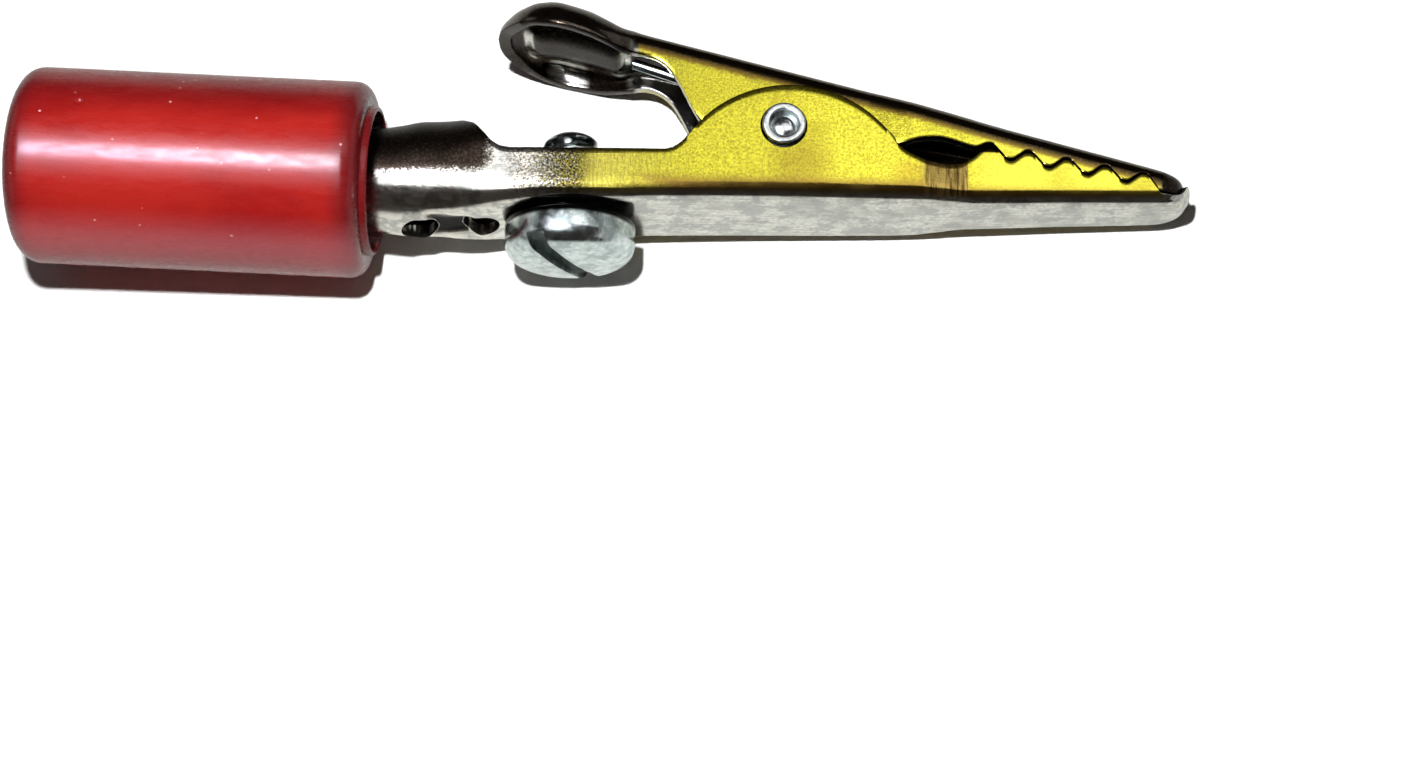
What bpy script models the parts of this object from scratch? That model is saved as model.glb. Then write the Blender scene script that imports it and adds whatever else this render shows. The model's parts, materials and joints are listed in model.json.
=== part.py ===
"""Alligator clip with a rolled plug barrel, a terminal screw and an insulating sleeve.

The clip lies on its side. In the clip's own frame the sizes are in millimetres, +X runs
along the barrel towards the jaw tips, +Y runs from the lower jaw to the upper jaw, and +Z
runs across the jaws. X is 0 at the pivot, Y is 0 on the barrel's axis and Z is 0 midway
between the flanks. Every mesh is built in that frame and scaled to metres, and the root
empty then sets the whole clip down with the middle of its underside on the origin.
"""
import math

import bmesh
import bpy
from mathutils import Matrix, Vector

MM = 0.001
OBJECT_NAME = "alligator_clip"

# Sheet metal
SHEET = 0.60
FLANK_GAP = 0.20
PIVOT = (0.0, 2.0)
HOLE_CLEARANCE = 0.2
OVERRUN = 1.0
CUTTER_REACH = 9.0
CUTTER_HALF_DEPTH = 6.0

# Lower jaw and its rolled barrel
BARREL_REAR = -29.8
BARREL_RADIUS = 2.67
BARREL_SWELL = 3.0
ROLL_END = -16.0
SEAM_WIDTH = 0.35
SEAM_BOTTOM = 1.0
CHANNEL_HALF_WIDTH = 3.3
NOSE_HALF_WIDTH = 2.0
FLANK_TOP = 0.65
WEB_BOTTOM = -1.85
BEND_RADIUS = 0.85
TIP_X = 21.0
TIP_TAPER_X = 18.6
EAR_CENTRE = (0.15, -2.25)
EAR_RADIUS = 6.3
WIRE_SLOTS = ((-18.7, 0.85, 1.55), (-15.3, 0.88, 1.55))
WIRE_SLOT_HALF_DEPTH = 1.6

# Teeth and the eye behind them
TOOTH_COUNT = 5
TOOTH_PITCH = 1.96
TOOTH_HEIGHT = 0.56
TOOTH_FALL = 0.345
FIRST_PEAK = (10.6, 1.52)
TOOTH_FLAT = 0.16
TOOTH_SLANT = 0.03
TOOTH_GAP = 0.24
NOSE_STEP = (20.05, 0.28)

# Upper jaw and its thumb pad
RIDGE_AT_PIVOT = 5.65
RIDGE_SLOPE = -0.2635
UPPER_EAR_RADIUS = 2.75
UPPER_TIP_X = 20.7
UPPER_TIP_TAPER_X = 18.2
PAD_TAPER_X = -12.6
UPPER_FLOOR = -4.0

# Pivot rivet
RIVET_RADIUS = 0.84
RIVET_PLAY = 0.06
RIVET_HEAD_RADIUS = 1.65
RIVET_HEAD_HEIGHT = 0.45
RIVET_HEAD_EDGE = 0.2
RIVET_ROLL_RADIUS = 1.12
RIVET_ROLL_HEIGHT = 0.34
RIVET_ROLL_EDGE = 0.14
RIVET_BORE_RADIUS = 0.72
RIVET_BORE_DEPTH = 1.3

# Torsion spring
WIRE_RADIUS = 0.28
COIL_RADIUS = 1.4
COIL_TURNS = 3.0
COIL_PITCH = 0.78
COIL_POINTS_PER_TURN = 14
UPPER_LEG_END = (-7.75, 6.12)
LOWER_LEG_END = (-6.6, -0.75)

# Terminal screw
SCREW_X = -10.9
SCREW_RADIUS = 1.62
SCREW_END = 2.68
SCREW_DOME = 1.1
HEAD_RADIUS = 3.36
HEAD_SEAT = -2.38
HEAD_HEIGHT = 2.15
HEAD_EDGE = 1.05
HEAD_CHAMFER = 0.12
CROWN_RISE = 0.14
SLOT_WIDTH = 1.0
SLOT_DEPTH = 0.8
SLOT_OFFSET = 0.2
SLOT_ANGLE = math.radians(26.0)

# Insulating sleeve
SLEEVE_RADIUS = 5.08
SLEEVE_REAR = -39.2
SLEEVE_FRONT = -21.3
SLEEVE_REAR_EDGE = 1.05
SLEEVE_FRONT_EDGE = 0.85
SLEEVE_BORE = 3.35
SLEEVE_CHAMFER = 0.15
SLEEVE_MOUTH = 0.3
SLEEVE_LAND = 3.1
SLEEVE_LAND_RAMP = 0.4
SLEEVE_LAND_REAR = 4.6
SLEEVE_LAND_FRONT = 1.6
SLEEVE_LIP_RADIUS = 3.85
SLEEVE_LIP_HEIGHT = 0.35
SLEEVE_LIP_TAPER = 0.06
SLEEVE_LIP_WALL = 0.22
SLEEVE_TILT = math.radians(-2.2)
SLEEVE_RISE = 0.33

ROUND_STEPS = 40
SLEEVE_STEPS = 48
RIVET_STEPS = 32
HOLE_STEPS = 28
CORNER_STEPS = 4
LEAST_CORNER = 0.05
LEAST_WIDTH = 0.15

# Stations along the lower jaw: x, lowest y, highest y, half width, lower and upper corner.
LOWER_STATIONS = (
    (BARREL_REAR, -BARREL_RADIUS, BARREL_RADIUS, BARREL_RADIUS, BARREL_RADIUS, BARREL_RADIUS),
    (-21.2, -BARREL_RADIUS, BARREL_RADIUS, BARREL_RADIUS, BARREL_RADIUS, BARREL_RADIUS),
    (-19.6, -2.82, 2.82, 2.85, 2.75, 2.75),
    (-18.5, -2.88, BARREL_SWELL, 2.98, 2.70, 2.80),
    (-17.6, -2.70, BARREL_SWELL, 3.05, 2.40, 2.80),
    (-17.0, -2.48, BARREL_SWELL, 3.12, 2.10, 2.75),
    (-16.4, -2.52, BARREL_SWELL, 3.18, 1.80, 2.60),
    (-15.4, -2.50, BARREL_SWELL, 3.26, 1.45, 2.20),
    (-14.0, -2.22, 2.60, 3.34, 1.10, 1.20),
    (-12.0, -2.02, 1.60, 3.38, 0.95, 0.30),
    (-8.5, -1.98, 1.60, 3.38, 0.88, 0.10),
    (-6.3, -1.90, 4.60, 3.37, BEND_RADIUS, 0.10),
    (0.0, WEB_BOTTOM, 4.60, CHANNEL_HALF_WIDTH, BEND_RADIUS, 0.10),
    (4.6, WEB_BOTTOM, 4.60, 3.16, BEND_RADIUS, 0.10),
    (6.2, -1.84, 2.60, 3.02, BEND_RADIUS, 0.10),
    (7.3, -1.80, 2.40, 2.62, 0.84, 0.10),
    (8.4, -1.76, 2.40, 2.34, 0.83, 0.10),
    (9.5, -1.73, 2.40, 2.26, 0.82, 0.10),
    (14.0, -1.61, 2.00, 2.14, 0.80, 0.10),
    (18.6, -1.50, 1.40, NOSE_HALF_WIDTH, 0.78, 0.10),
    (19.6, -1.47, 1.20, 1.92, 0.78, 0.10),
    (20.3, -1.38, 1.20, 1.62, 0.74, 0.10),
    (20.8, -1.14, 1.20, 1.16, 0.66, 0.10),
    (TIP_X, -0.86, 1.20, 0.66, 0.50, 0.10),
)

# Stations along the upper jaw: x, rise above the ridge line, half width, upper corner.
UPPER_STATIONS = (
    (-14.9, -1.75, 0.95, 0.60),
    (-14.7, -1.22, 1.70, 1.05),
    (-14.2, -0.78, 2.58, 1.45),
    (-13.5, -0.38, 3.42, 1.65),
    (-12.6, -0.06, 4.00, 1.70),
    (-11.4, 0.12, 4.28, 1.70),
    (-10.2, 0.12, 4.12, 1.65),
    (-9.1, 0.06, 3.62, 1.45),
    (-8.2, 0.02, 3.02, 1.15),
    (-7.4, 0.00, 2.60, 0.90),
    (-6.6, 0.00, 2.50, 0.84),
    (0.0, 0.00, 2.50, 0.84),
    (3.8, 0.00, 2.50, 0.84),
    (4.7, -0.12, 2.86, 0.92),
    (6.2, -0.15, 2.94, 0.92),
    (7.3, -0.04, 2.58, 0.88),
    (8.4, 0.00, 2.32, 0.85),
    (9.5, 0.00, 2.24, 0.84),
    (14.0, 0.00, 2.12, 0.82),
    (18.2, 0.00, 1.98, 0.80),
    (19.4, 0.00, 1.86, 0.74),
    (20.1, -0.02, 1.52, 0.62),
    (20.5, -0.08, 1.08, 0.46),
    (UPPER_TIP_X, -0.20, 0.66, 0.30),
)


def clear_scene():
    """Remove every object, so that the script can be run again."""
    for item in list(bpy.data.objects):
        bpy.data.objects.remove(item, do_unlink=True)


def make_collection(name):
    """A collection linked to the scene."""
    group = bpy.data.collections.new(name)
    bpy.context.scene.collection.children.link(group)
    return group


def make_material(name, colour, roughness, metallic):
    """A plain Principled material."""
    material = bpy.data.materials.new(name)
    material.use_nodes = True
    shader = material.node_tree.nodes["Principled BSDF"]
    shader.inputs["Base Color"].default_value = (*colour, 1.0)
    shader.inputs["Roughness"].default_value = roughness
    shader.inputs["Metallic"].default_value = metallic
    return material


def arc(centre, radius, start, end, steps):
    """Points along a circular arc, angles in degrees."""
    points = []
    for step in range(steps + 1):
        angle = math.radians(start + (end - start) * step / steps)
        points.append((centre[0] + radius * math.cos(angle), centre[1] + radius * math.sin(angle)))
    return points


def rounded_box(low, high, half_width, low_corner, high_corner):
    """A closed ring of (y, z) points: a box with rounded lower and upper corners."""
    corners = (
        ((high - high_corner, half_width - high_corner), high_corner, 90.0, 0.0),
        ((high - high_corner, high_corner - half_width), high_corner, 0.0, -90.0),
        ((low + low_corner, low_corner - half_width), low_corner, -90.0, -180.0),
        ((low + low_corner, half_width - low_corner), low_corner, 180.0, 90.0),
    )
    ring = []
    for centre, radius, start, end in corners:
        ring.extend(arc(centre, radius, start, end, CORNER_STEPS))
    return ring


def loft(name, sections):
    """A closed solid through (x, ring) sections that all have the same number of points."""
    mesh = bpy.data.meshes.new(name)
    shape = bmesh.new()
    rings = []
    for x, ring in sections:
        rings.append([shape.verts.new((x * MM, y * MM, z * MM)) for y, z in ring])
    for first, second in zip(rings, rings[1:]):
        for index in range(len(first)):
            after = (index + 1) % len(first)
            shape.faces.new((first[index], first[after], second[after], second[index]))
    shape.faces.new(rings[0])
    shape.faces.new(rings[-1])
    bmesh.ops.remove_doubles(shape, verts=shape.verts, dist=1e-7)
    bmesh.ops.recalc_face_normals(shape, faces=shape.faces)
    shape.to_mesh(mesh)
    shape.free()
    return bpy.data.objects.new(name, mesh)


def mesh_from_curve(item):
    """Turn a curve object into a closed mesh object in the same place."""
    holder = bpy.context.scene.collection
    holder.objects.link(item)
    bpy.context.view_layer.update()
    graph = bpy.context.evaluated_depsgraph_get()
    mesh = bpy.data.meshes.new_from_object(item.evaluated_get(graph))
    shape = bmesh.new()
    shape.from_mesh(mesh)
    bmesh.ops.remove_doubles(shape, verts=shape.verts, dist=1e-6)
    bmesh.ops.recalc_face_normals(shape, faces=shape.faces)
    shape.to_mesh(mesh)
    shape.free()
    name = item.name
    bpy.data.objects.remove(item, do_unlink=True)
    return bpy.data.objects.new(name, mesh)


def prism(name, outline, half_depth):
    """A flat XY outline made solid along Z."""
    curve = bpy.data.curves.new(name, "CURVE")
    curve.dimensions = "2D"
    curve.fill_mode = "BOTH"
    curve.extrude = half_depth * MM
    spline = curve.splines.new("POLY")
    spline.points.add(len(outline) - 1)
    for point, (x, y) in zip(spline.points, outline):
        point.co = (x * MM, y * MM, 0.0, 1.0)
    spline.use_cyclic_u = True
    return mesh_from_curve(bpy.data.objects.new(name, curve))


def turned(name, profile, steps=ROUND_STEPS):
    """A solid turned about its own Z axis from (radius, height) points, top to bottom."""
    mesh = bpy.data.meshes.new(name)
    shape = bmesh.new()
    points = [shape.verts.new((radius * MM, 0.0, height * MM)) for radius, height in profile]
    for first, second in zip(points, points[1:]):
        shape.edges.new((first, second))
    shape.to_mesh(mesh)
    shape.free()
    item = bpy.data.objects.new(name, mesh)
    screw = item.modifiers.new("turn", "SCREW")
    screw.axis = "Z"
    screw.steps = steps
    screw.render_steps = steps
    screw.use_merge_vertices = True
    screw.merge_threshold = 1e-6
    return item


def ring_profile(outer, inner):
    """A closed turned profile: down the outer side and back up the inner one."""
    return list(outer) + list(inner) + [outer[0]]


def drum(name, radius, half_length, steps=ROUND_STEPS):
    """A cylinder about its own Z axis, centred on its origin."""
    mesh = bpy.data.meshes.new(name)
    shape = bmesh.new()
    bmesh.ops.create_cone(
        shape, cap_ends=True, segments=steps,
        radius1=radius * MM, radius2=radius * MM, depth=2.0 * half_length * MM,
    )
    shape.to_mesh(mesh)
    shape.free()
    return bpy.data.objects.new(name, mesh)


def block(name, low, high):
    """A box between two corners."""
    mesh = bpy.data.meshes.new(name)
    shape = bmesh.new()
    bmesh.ops.create_cube(shape, size=1.0)
    size = [(b - a) * MM for a, b in zip(low, high)]
    middle = [(a + b) * 0.5 * MM for a, b in zip(low, high)]
    bmesh.ops.scale(shape, vec=size, verts=shape.verts)
    bmesh.ops.translate(shape, vec=middle, verts=shape.verts)
    shape.to_mesh(mesh)
    shape.free()
    return bpy.data.objects.new(name, mesh)


class Clip:
    """The clip being put together: its collections, its empties and its parts."""

    def __init__(self):
        self.parts = make_collection(OBJECT_NAME)
        self.tools = make_collection(OBJECT_NAME + "_cutters")
        self.root = self.empty("clip_frame", None, (0.0, 0.0, 0.0))

    def empty(self, name, parent, place):
        """An empty at a point of its parent's frame."""
        item = bpy.data.objects.new(name, None)
        item.empty_display_size = 0.003
        self.parts.objects.link(item)
        item.parent = parent
        item.location = Vector(place) * MM
        return item

    def add(self, item, parent, place, material):
        """Put a part in the clip, shaded smooth but for its real edges."""
        self.parts.objects.link(item)
        item.parent = parent
        item.location = Vector(place) * MM
        item.data.materials.append(material)
        item.data.shade_smooth()
        item.data.set_sharp_from_angle(angle=math.radians(35.0))
        return item

    def cut(self, item, tool, place=(0.0, 0.0, 0.0), turn=None):
        """Take a tool's shape out of a part. The tool sits in the part's own frame."""
        self.tools.objects.link(tool)
        tool.parent = item
        tool.location = Vector(place) * MM
        if turn is not None:
            tool.rotation_euler = turn
        tool.hide_render = True
        tool.display_type = "WIRE"
        boolean = item.modifiers.new(tool.name, "BOOLEAN")
        boolean.operation = "DIFFERENCE"
        boolean.solver = "EXACT"
        boolean.object = tool


def ridge(x):
    """Height of the upper jaw's ridge line."""
    return RIDGE_AT_PIVOT + RIDGE_SLOPE * x


def tooth_line(offset):
    """The zigzag between the jaws, moved by an offset, from the eye to the nose."""
    points = []
    for index in range(TOOTH_COUNT):
        x = FIRST_PEAK[0] + TOOTH_PITCH * index
        peak = FIRST_PEAK[1] - TOOTH_FALL * index + offset
        valley = peak - TOOTH_FALL * 0.5 - TOOTH_HEIGHT
        points.append((x - TOOTH_FLAT, peak))
        points.append((x + TOOTH_FLAT, peak - TOOTH_SLANT))
        points.append((x + TOOTH_PITCH * 0.5 - TOOTH_FLAT, valley + TOOTH_SLANT))
        points.append((x + TOOTH_PITCH * 0.5 + TOOTH_FLAT, valley))
    points.append((NOSE_STEP[0], points[-1][1] + NOSE_STEP[1]))
    points.append((TIP_X + OVERRUN, points[-1][1]))
    return points


def lower_outline():
    """Edge of the lower jaw's flanks from the dome of the barrel to the nose."""
    dome = [
        (-17.7, 3.6), (-17.2, 3.02), (-16.5, 2.72), (-15.8, 2.26),
        (-15.3, 1.62), (-14.85, 1.04), (-14.4, 0.75), (-13.9, FLANK_TOP),
    ]
    fillet = [(-6.15, FLANK_TOP), (-5.78, 0.75), (-5.5, 0.94)]
    ear = arc(EAR_CENTRE, EAR_RADIUS, 147.0, 35.0, 22)
    eye = [(5.95, 0.92), (6.6, 0.62), (7.3, 0.40), (8.25, 0.32), (9.2, 0.52), (9.85, 0.84)]
    return dome + fillet + ear + eye + tooth_line(-0.5 * TOOTH_GAP)


def upper_outline():
    """Edge of the upper jaw from the pad's rim, down round the pivot and on to the nose."""
    rim = [(-17.0, 8.2), (-13.2, 7.42), (-11.0, 6.93), (-9.2, 6.45), (-8.0, 6.22), (-7.2, 6.16)]
    rear = [(-6.62, 6.0), (-6.1, 5.68), (-5.74, 5.28), (-5.21, 4.4), (-4.79, 3.5), (-4.32, 2.66)]
    pivot = arc(PIVOT, UPPER_EAR_RADIUS, 205.0, 350.0, 14)
    joggle = arc(EAR_CENTRE, EAR_RADIUS + FLANK_GAP, 50.0, 34.0, 5)
    eye = [(6.1, 1.32), (6.6, 1.60), (7.2, 1.82), (7.95, 1.92), (8.8, 1.70), (9.4, 1.46), (9.9, 1.37)]
    return rim + rear + pivot + joggle + eye + tooth_line(0.5 * TOOTH_GAP)


def inset(x, start, end):
    """Station x of the inner form, drawn in by the sheet's thickness from start to end."""
    share = min(max((x - start) / (end - start), 0.0), 1.0)
    return x - math.copysign(SHEET, end - start) * share


def closed_above(outline, height):
    """The region above an outline."""
    return outline + [(outline[-1][0], height), (outline[0][0], height)]


def build_lower_jaw(clip, material):
    """Channel and barrel of one folded sheet: an outer form with an inner form taken out."""
    outer = []
    inner = []
    for x, low, high, half_width, low_corner, high_corner in LOWER_STATIONS:
        outer.append((x, rounded_box(low, high, half_width, low_corner, high_corner)))
        open_top = x > ROLL_END
        roof = high + OVERRUN if open_top else high - SHEET
        roof_corner = LEAST_CORNER if open_top else high_corner - SHEET
        inner_width = max(half_width - SHEET, LEAST_WIDTH)
        hollow = (low + SHEET, roof, inner_width, max(low_corner - SHEET, LEAST_CORNER), roof_corner)
        inner.append((inset(x, TIP_TAPER_X, TIP_X), rounded_box(*hollow)))
    inner[0] = (BARREL_REAR - OVERRUN, inner[0][1])
    body = clip.add(loft("lower_jaw", outer), clip.root, (0.0, 0.0, 0.0), material)
    clip.cut(body, loft("lower_hollow", inner))
    clip.cut(body, prism("lower_edge", closed_above(lower_outline(), CUTTER_REACH), CUTTER_HALF_DEPTH))
    half_seam = 0.5 * SEAM_WIDTH
    seam_low = (BARREL_REAR - OVERRUN, SEAM_BOTTOM, -half_seam)
    seam_high = (ROLL_END, BARREL_SWELL + OVERRUN, half_seam)
    clip.cut(body, block("barrel_seam", seam_low, seam_high))
    hole = RIVET_RADIUS + HOLE_CLEARANCE
    clip.cut(body, drum("lower_pivot_hole", hole, CUTTER_HALF_DEPTH, HOLE_STEPS), (*PIVOT, 0.0))
    upright = (math.radians(90.0), 0.0, 0.0)
    screw_hole = SCREW_RADIUS + HOLE_CLEARANCE
    clip.cut(body, drum("screw_hole", screw_hole, OVERRUN), (SCREW_X, WEB_BOTTOM, 0.0), upright)
    for index, (x, half_length, half_width) in enumerate(WIRE_SLOTS):
        slot = drum("wire_slot_%d" % (index + 1), 1.0, WIRE_SLOT_HALF_DEPTH, HOLE_STEPS)
        clip.cut(body, slot, (x, -BARREL_RADIUS, 0.0), upright)
        slot.scale = (half_length, half_width, 1.0)
    return body


def build_upper_jaw(clip, material):
    """Lever of folded sheet with its thumb pad, hung on an empty at the pivot."""
    hinge = clip.empty("jaw_hinge", clip.root, (*PIVOT, 0.0))
    outer = []
    inner = []
    for x, rise, half_width, corner in UPPER_STATIONS:
        top = ridge(x) + rise
        outer.append((x, rounded_box(UPPER_FLOOR, top, half_width, LEAST_CORNER, corner)))
        inner_width = max(half_width - SHEET, LEAST_WIDTH)
        inner_corner = max(corner - SHEET, LEAST_CORNER)
        hollow = (UPPER_FLOOR - OVERRUN, top - SHEET, inner_width, LEAST_CORNER, inner_corner)
        inner_x = inset(inset(x, UPPER_TIP_TAPER_X, UPPER_TIP_X), PAD_TAPER_X, UPPER_STATIONS[0][0])
        inner.append((inner_x, rounded_box(*hollow)))
    back = (-PIVOT[0], -PIVOT[1], 0.0)
    body = clip.add(loft("upper_jaw", outer), hinge, back, material)
    clip.cut(body, loft("upper_hollow", inner))
    clip.cut(body, prism("upper_edge", closed_above(upper_outline(), -CUTTER_REACH), CUTTER_HALF_DEPTH))
    hole = RIVET_RADIUS + HOLE_CLEARANCE
    clip.cut(body, drum("upper_pivot_hole", hole, CUTTER_HALF_DEPTH, HOLE_STEPS), (*PIVOT, 0.0))
    return body


def build_rivet(clip, material):
    """Semi-tubular rivet along Z, with its rolled end on top and its flat head below."""
    seat = CHANNEL_HALF_WIDTH + RIVET_PLAY
    top = seat + RIVET_ROLL_HEIGHT
    edge = RIVET_ROLL_EDGE
    outer = arc((RIVET_ROLL_RADIUS - edge, top - edge), edge, 90.0, 0.0, 3)
    outer += [(RIVET_ROLL_RADIUS, seat + 0.5 * edge), (RIVET_ROLL_RADIUS - edge, seat)]
    outer += [(RIVET_RADIUS, seat), (RIVET_RADIUS, -seat), (RIVET_HEAD_RADIUS, -seat)]
    edge = RIVET_HEAD_EDGE
    under = -seat - RIVET_HEAD_HEIGHT
    outer += arc((RIVET_HEAD_RADIUS - edge, under + edge), edge, 0.0, -90.0, 3) + [(0.0, under)]
    floor = top - RIVET_BORE_DEPTH
    bore = [(0.0, floor), (RIVET_BORE_RADIUS, floor), (RIVET_BORE_RADIUS, top - RIVET_ROLL_EDGE)]
    profile = ring_profile(outer, bore)
    return clip.add(turned("pivot_rivet", profile, RIVET_STEPS), clip.root, (*PIVOT, 0.0), material)


def tangent_angle(point):
    """Direction from the pivot to where a straight leg from a point meets the coil, degrees."""
    reach = math.hypot(point[0] - PIVOT[0], point[1] - PIVOT[1])
    heading = math.atan2(point[1] - PIVOT[1], point[0] - PIVOT[0])
    return math.degrees(heading), math.degrees(math.acos(COIL_RADIUS / reach))


def build_spring(clip, material):
    """Torsion spring on the rivet, with both legs running back to push the handles apart."""
    heading, opening = tangent_angle(UPPER_LEG_END)
    start = heading - opening
    heading, opening = tangent_angle(LOWER_LEG_END)
    finish = heading + opening - 360.0 * COIL_TURNS
    steps = int(COIL_POINTS_PER_TURN * (start - finish) / 360.0)
    half_rise = 0.5 * COIL_PITCH * (start - finish) / 360.0
    points = [(*UPPER_LEG_END, half_rise)]
    for step in range(steps + 1):
        share = step / steps
        x, y = arc(PIVOT, COIL_RADIUS, start + (finish - start) * share, 0.0, 1)[0]
        points.append((x, y, half_rise * (1.0 - 2.0 * share)))
    points.append((*LOWER_LEG_END, -half_rise))
    curve = bpy.data.curves.new("torsion_spring", "CURVE")
    curve.dimensions = "3D"
    curve.bevel_depth = WIRE_RADIUS * MM
    curve.bevel_resolution = 2
    curve.use_fill_caps = True
    spline = curve.splines.new("POLY")
    spline.points.add(len(points) - 1)
    for point, place in zip(spline.points, points):
        point.co = (*[value * MM for value in place], 1.0)
    item = mesh_from_curve(bpy.data.objects.new("torsion_spring", curve))
    return clip.add(item, clip.root, (0.0, 0.0, 0.0), material)


def build_screw(clip, material):
    """Slotted pan head screw through the web. Its own Z axis points out through the head."""
    axis = clip.empty("screw_axis", clip.root, (SCREW_X, 0.0, 0.0))
    axis.rotation_euler = (math.radians(90.0), 0.0, 0.0)
    seat = -HEAD_SEAT
    crown = seat + HEAD_HEIGHT
    edge_centre = (HEAD_RADIUS - HEAD_EDGE, crown - CROWN_RISE - HEAD_EDGE)
    profile = [(0.0, crown), (0.5 * edge_centre[0], crown - 0.3 * CROWN_RISE)]
    profile += arc(edge_centre, HEAD_EDGE, 78.0, 0.0, 6)
    profile += [(HEAD_RADIUS, seat + HEAD_CHAMFER), (HEAD_RADIUS - HEAD_CHAMFER, seat)]
    profile.append((SCREW_RADIUS, seat))
    for radius, height in arc((0.0, 0.0), 1.0, 0.0, -90.0, 5):
        profile.append((SCREW_RADIUS * radius, SCREW_DOME * (1.0 + height) - SCREW_END))
    item = clip.add(turned("terminal_screw", profile), axis, (0.0, 0.0, 0.0), material)
    half = 0.5 * SLOT_WIDTH
    reach = HEAD_RADIUS + OVERRUN
    slot = block("screw_slot", (-half, -reach, crown - SLOT_DEPTH), (half, reach, crown + OVERRUN))
    clip.cut(item, slot, (-SLOT_OFFSET, 0.0, 0.0), (0.0, 0.0, SLOT_ANGLE))
    return item


def build_sleeve(clip, material):
    """Tube turned about its own Z axis, which points back, away from the jaws."""
    half = 0.5 * (SLEEVE_FRONT - SLEEVE_REAR)
    middle = 0.5 * (SLEEVE_FRONT + SLEEVE_REAR)
    axis = clip.empty("sleeve_axis", clip.root, (middle, SLEEVE_RISE, 0.0))
    axis.rotation_euler = (0.0, math.radians(-90.0), SLEEVE_TILT)
    rear = SLEEVE_REAR_EDGE
    front = SLEEVE_FRONT_EDGE
    outer = arc((SLEEVE_RADIUS - rear, half - rear), rear, 90.0, 0.0, 6)
    outer += arc((SLEEVE_RADIUS - front, front - half), front, 0.0, -90.0, 6)
    lip = SLEEVE_LIP_RADIUS - SLEEVE_LIP_TAPER
    outer += [(SLEEVE_LIP_RADIUS, -half), (lip, -half - SLEEVE_LIP_HEIGHT)]
    inner = [
        (lip - SLEEVE_LIP_WALL, -half - SLEEVE_LIP_HEIGHT),
        (SLEEVE_BORE + SLEEVE_CHAMFER, SLEEVE_MOUTH - half),
        (SLEEVE_LAND, SLEEVE_LAND_FRONT - half),
        (SLEEVE_LAND, SLEEVE_LAND_REAR - half),
        (SLEEVE_BORE, SLEEVE_LAND_REAR + SLEEVE_LAND_RAMP - half),
        (SLEEVE_BORE, half - SLEEVE_CHAMFER),
        (SLEEVE_BORE + SLEEVE_CHAMFER, half),
    ]
    item = turned("insulating_sleeve", ring_profile(outer, inner), SLEEVE_STEPS)
    return clip.add(item, axis, (0.0, 0.0, 0.0), material)


def settle(clip, parts):
    """Move the root so that the middle of the clip's underside is at the world's origin."""
    bpy.context.view_layer.update()
    graph = bpy.context.evaluated_depsgraph_get()
    corners = []
    for item in parts:
        solid = item.evaluated_get(graph)
        corners.extend(solid.matrix_world @ vertex.co for vertex in solid.data.vertices)
    low = [min(corner[axis] for corner in corners) for axis in range(3)]
    high = [max(corner[axis] for corner in corners) for axis in range(3)]
    clip.root.location = (-0.5 * (low[0] + high[0]), -0.5 * (low[1] + high[1]), -low[2])


def main():
    clear_scene()
    clip = Clip()
    nickel = make_material("nickel_plate", (0.70, 0.68, 0.60), 0.28, 1.0)
    lever = make_material("nickel_plate_lever", (0.70, 0.68, 0.58), 0.28, 1.0)
    zinc = make_material("zinc_plate", (0.66, 0.72, 0.74), 0.30, 1.0)
    rivet = make_material("rivet_steel", (0.70, 0.74, 0.74), 0.25, 1.0)
    wire = make_material("spring_wire", (0.55, 0.60, 0.62), 0.25, 1.0)
    plastic = make_material("red_plastic", (0.42, 0.02, 0.025), 0.25, 0.0)
    parts = [
        build_sleeve(clip, plastic),
        build_lower_jaw(clip, nickel),
        build_upper_jaw(clip, lever),
        build_rivet(clip, rivet),
        build_spring(clip, wire),
        build_screw(clip, zinc),
    ]
    settle(clip, parts)


main()
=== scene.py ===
"""Looks of the alligator clip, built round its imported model.

Shapes are made in the clip's own frame, in millimetres: +X runs along the barrel towards the
jaw tips, +Y from the lower jaw to the upper jaw, and +Z across the jaws. X is 0 at the pivot,
Y is 0 on the barrel's axis and Z is 0 midway between the flanks.
"""
import json
import math

import bmesh
import bpy
import numpy as np
from mathutils import Matrix, Vector


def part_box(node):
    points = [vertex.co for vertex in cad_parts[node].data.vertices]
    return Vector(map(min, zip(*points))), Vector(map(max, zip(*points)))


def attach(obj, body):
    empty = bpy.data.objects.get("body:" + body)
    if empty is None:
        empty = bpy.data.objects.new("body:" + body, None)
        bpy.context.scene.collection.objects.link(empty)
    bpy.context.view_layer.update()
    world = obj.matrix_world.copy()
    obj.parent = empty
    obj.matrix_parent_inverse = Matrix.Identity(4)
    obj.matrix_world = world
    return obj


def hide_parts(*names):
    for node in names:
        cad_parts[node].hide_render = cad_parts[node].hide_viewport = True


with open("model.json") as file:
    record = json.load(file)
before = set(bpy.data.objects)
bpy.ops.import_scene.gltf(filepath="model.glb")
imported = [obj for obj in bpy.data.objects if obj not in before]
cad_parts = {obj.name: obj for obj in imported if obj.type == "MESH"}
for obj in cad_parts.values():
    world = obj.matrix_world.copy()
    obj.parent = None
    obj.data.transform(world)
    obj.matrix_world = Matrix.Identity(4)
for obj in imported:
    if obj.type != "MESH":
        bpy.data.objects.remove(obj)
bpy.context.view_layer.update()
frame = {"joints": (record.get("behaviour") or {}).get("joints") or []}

MM = 0.001
PIVOT = (0.0, 2.0)
SHEET = 0.60
FLANK_GAP = 0.03

# Lower jaw and its rolled barrel
BARREL_REAR = -29.8
BARREL_RADIUS = 2.67
BARREL_SWELL = 3.0
HALF_SEAM = 0.17
CHANNEL_HALF_WIDTH = 3.3
FLANK_TOP = 0.65
WEB_BOTTOM = -1.85
TIP_X = 21.0
EAR_CENTRE = (0.38, -2.06)
EAR_RADIUS = 6.3

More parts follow.
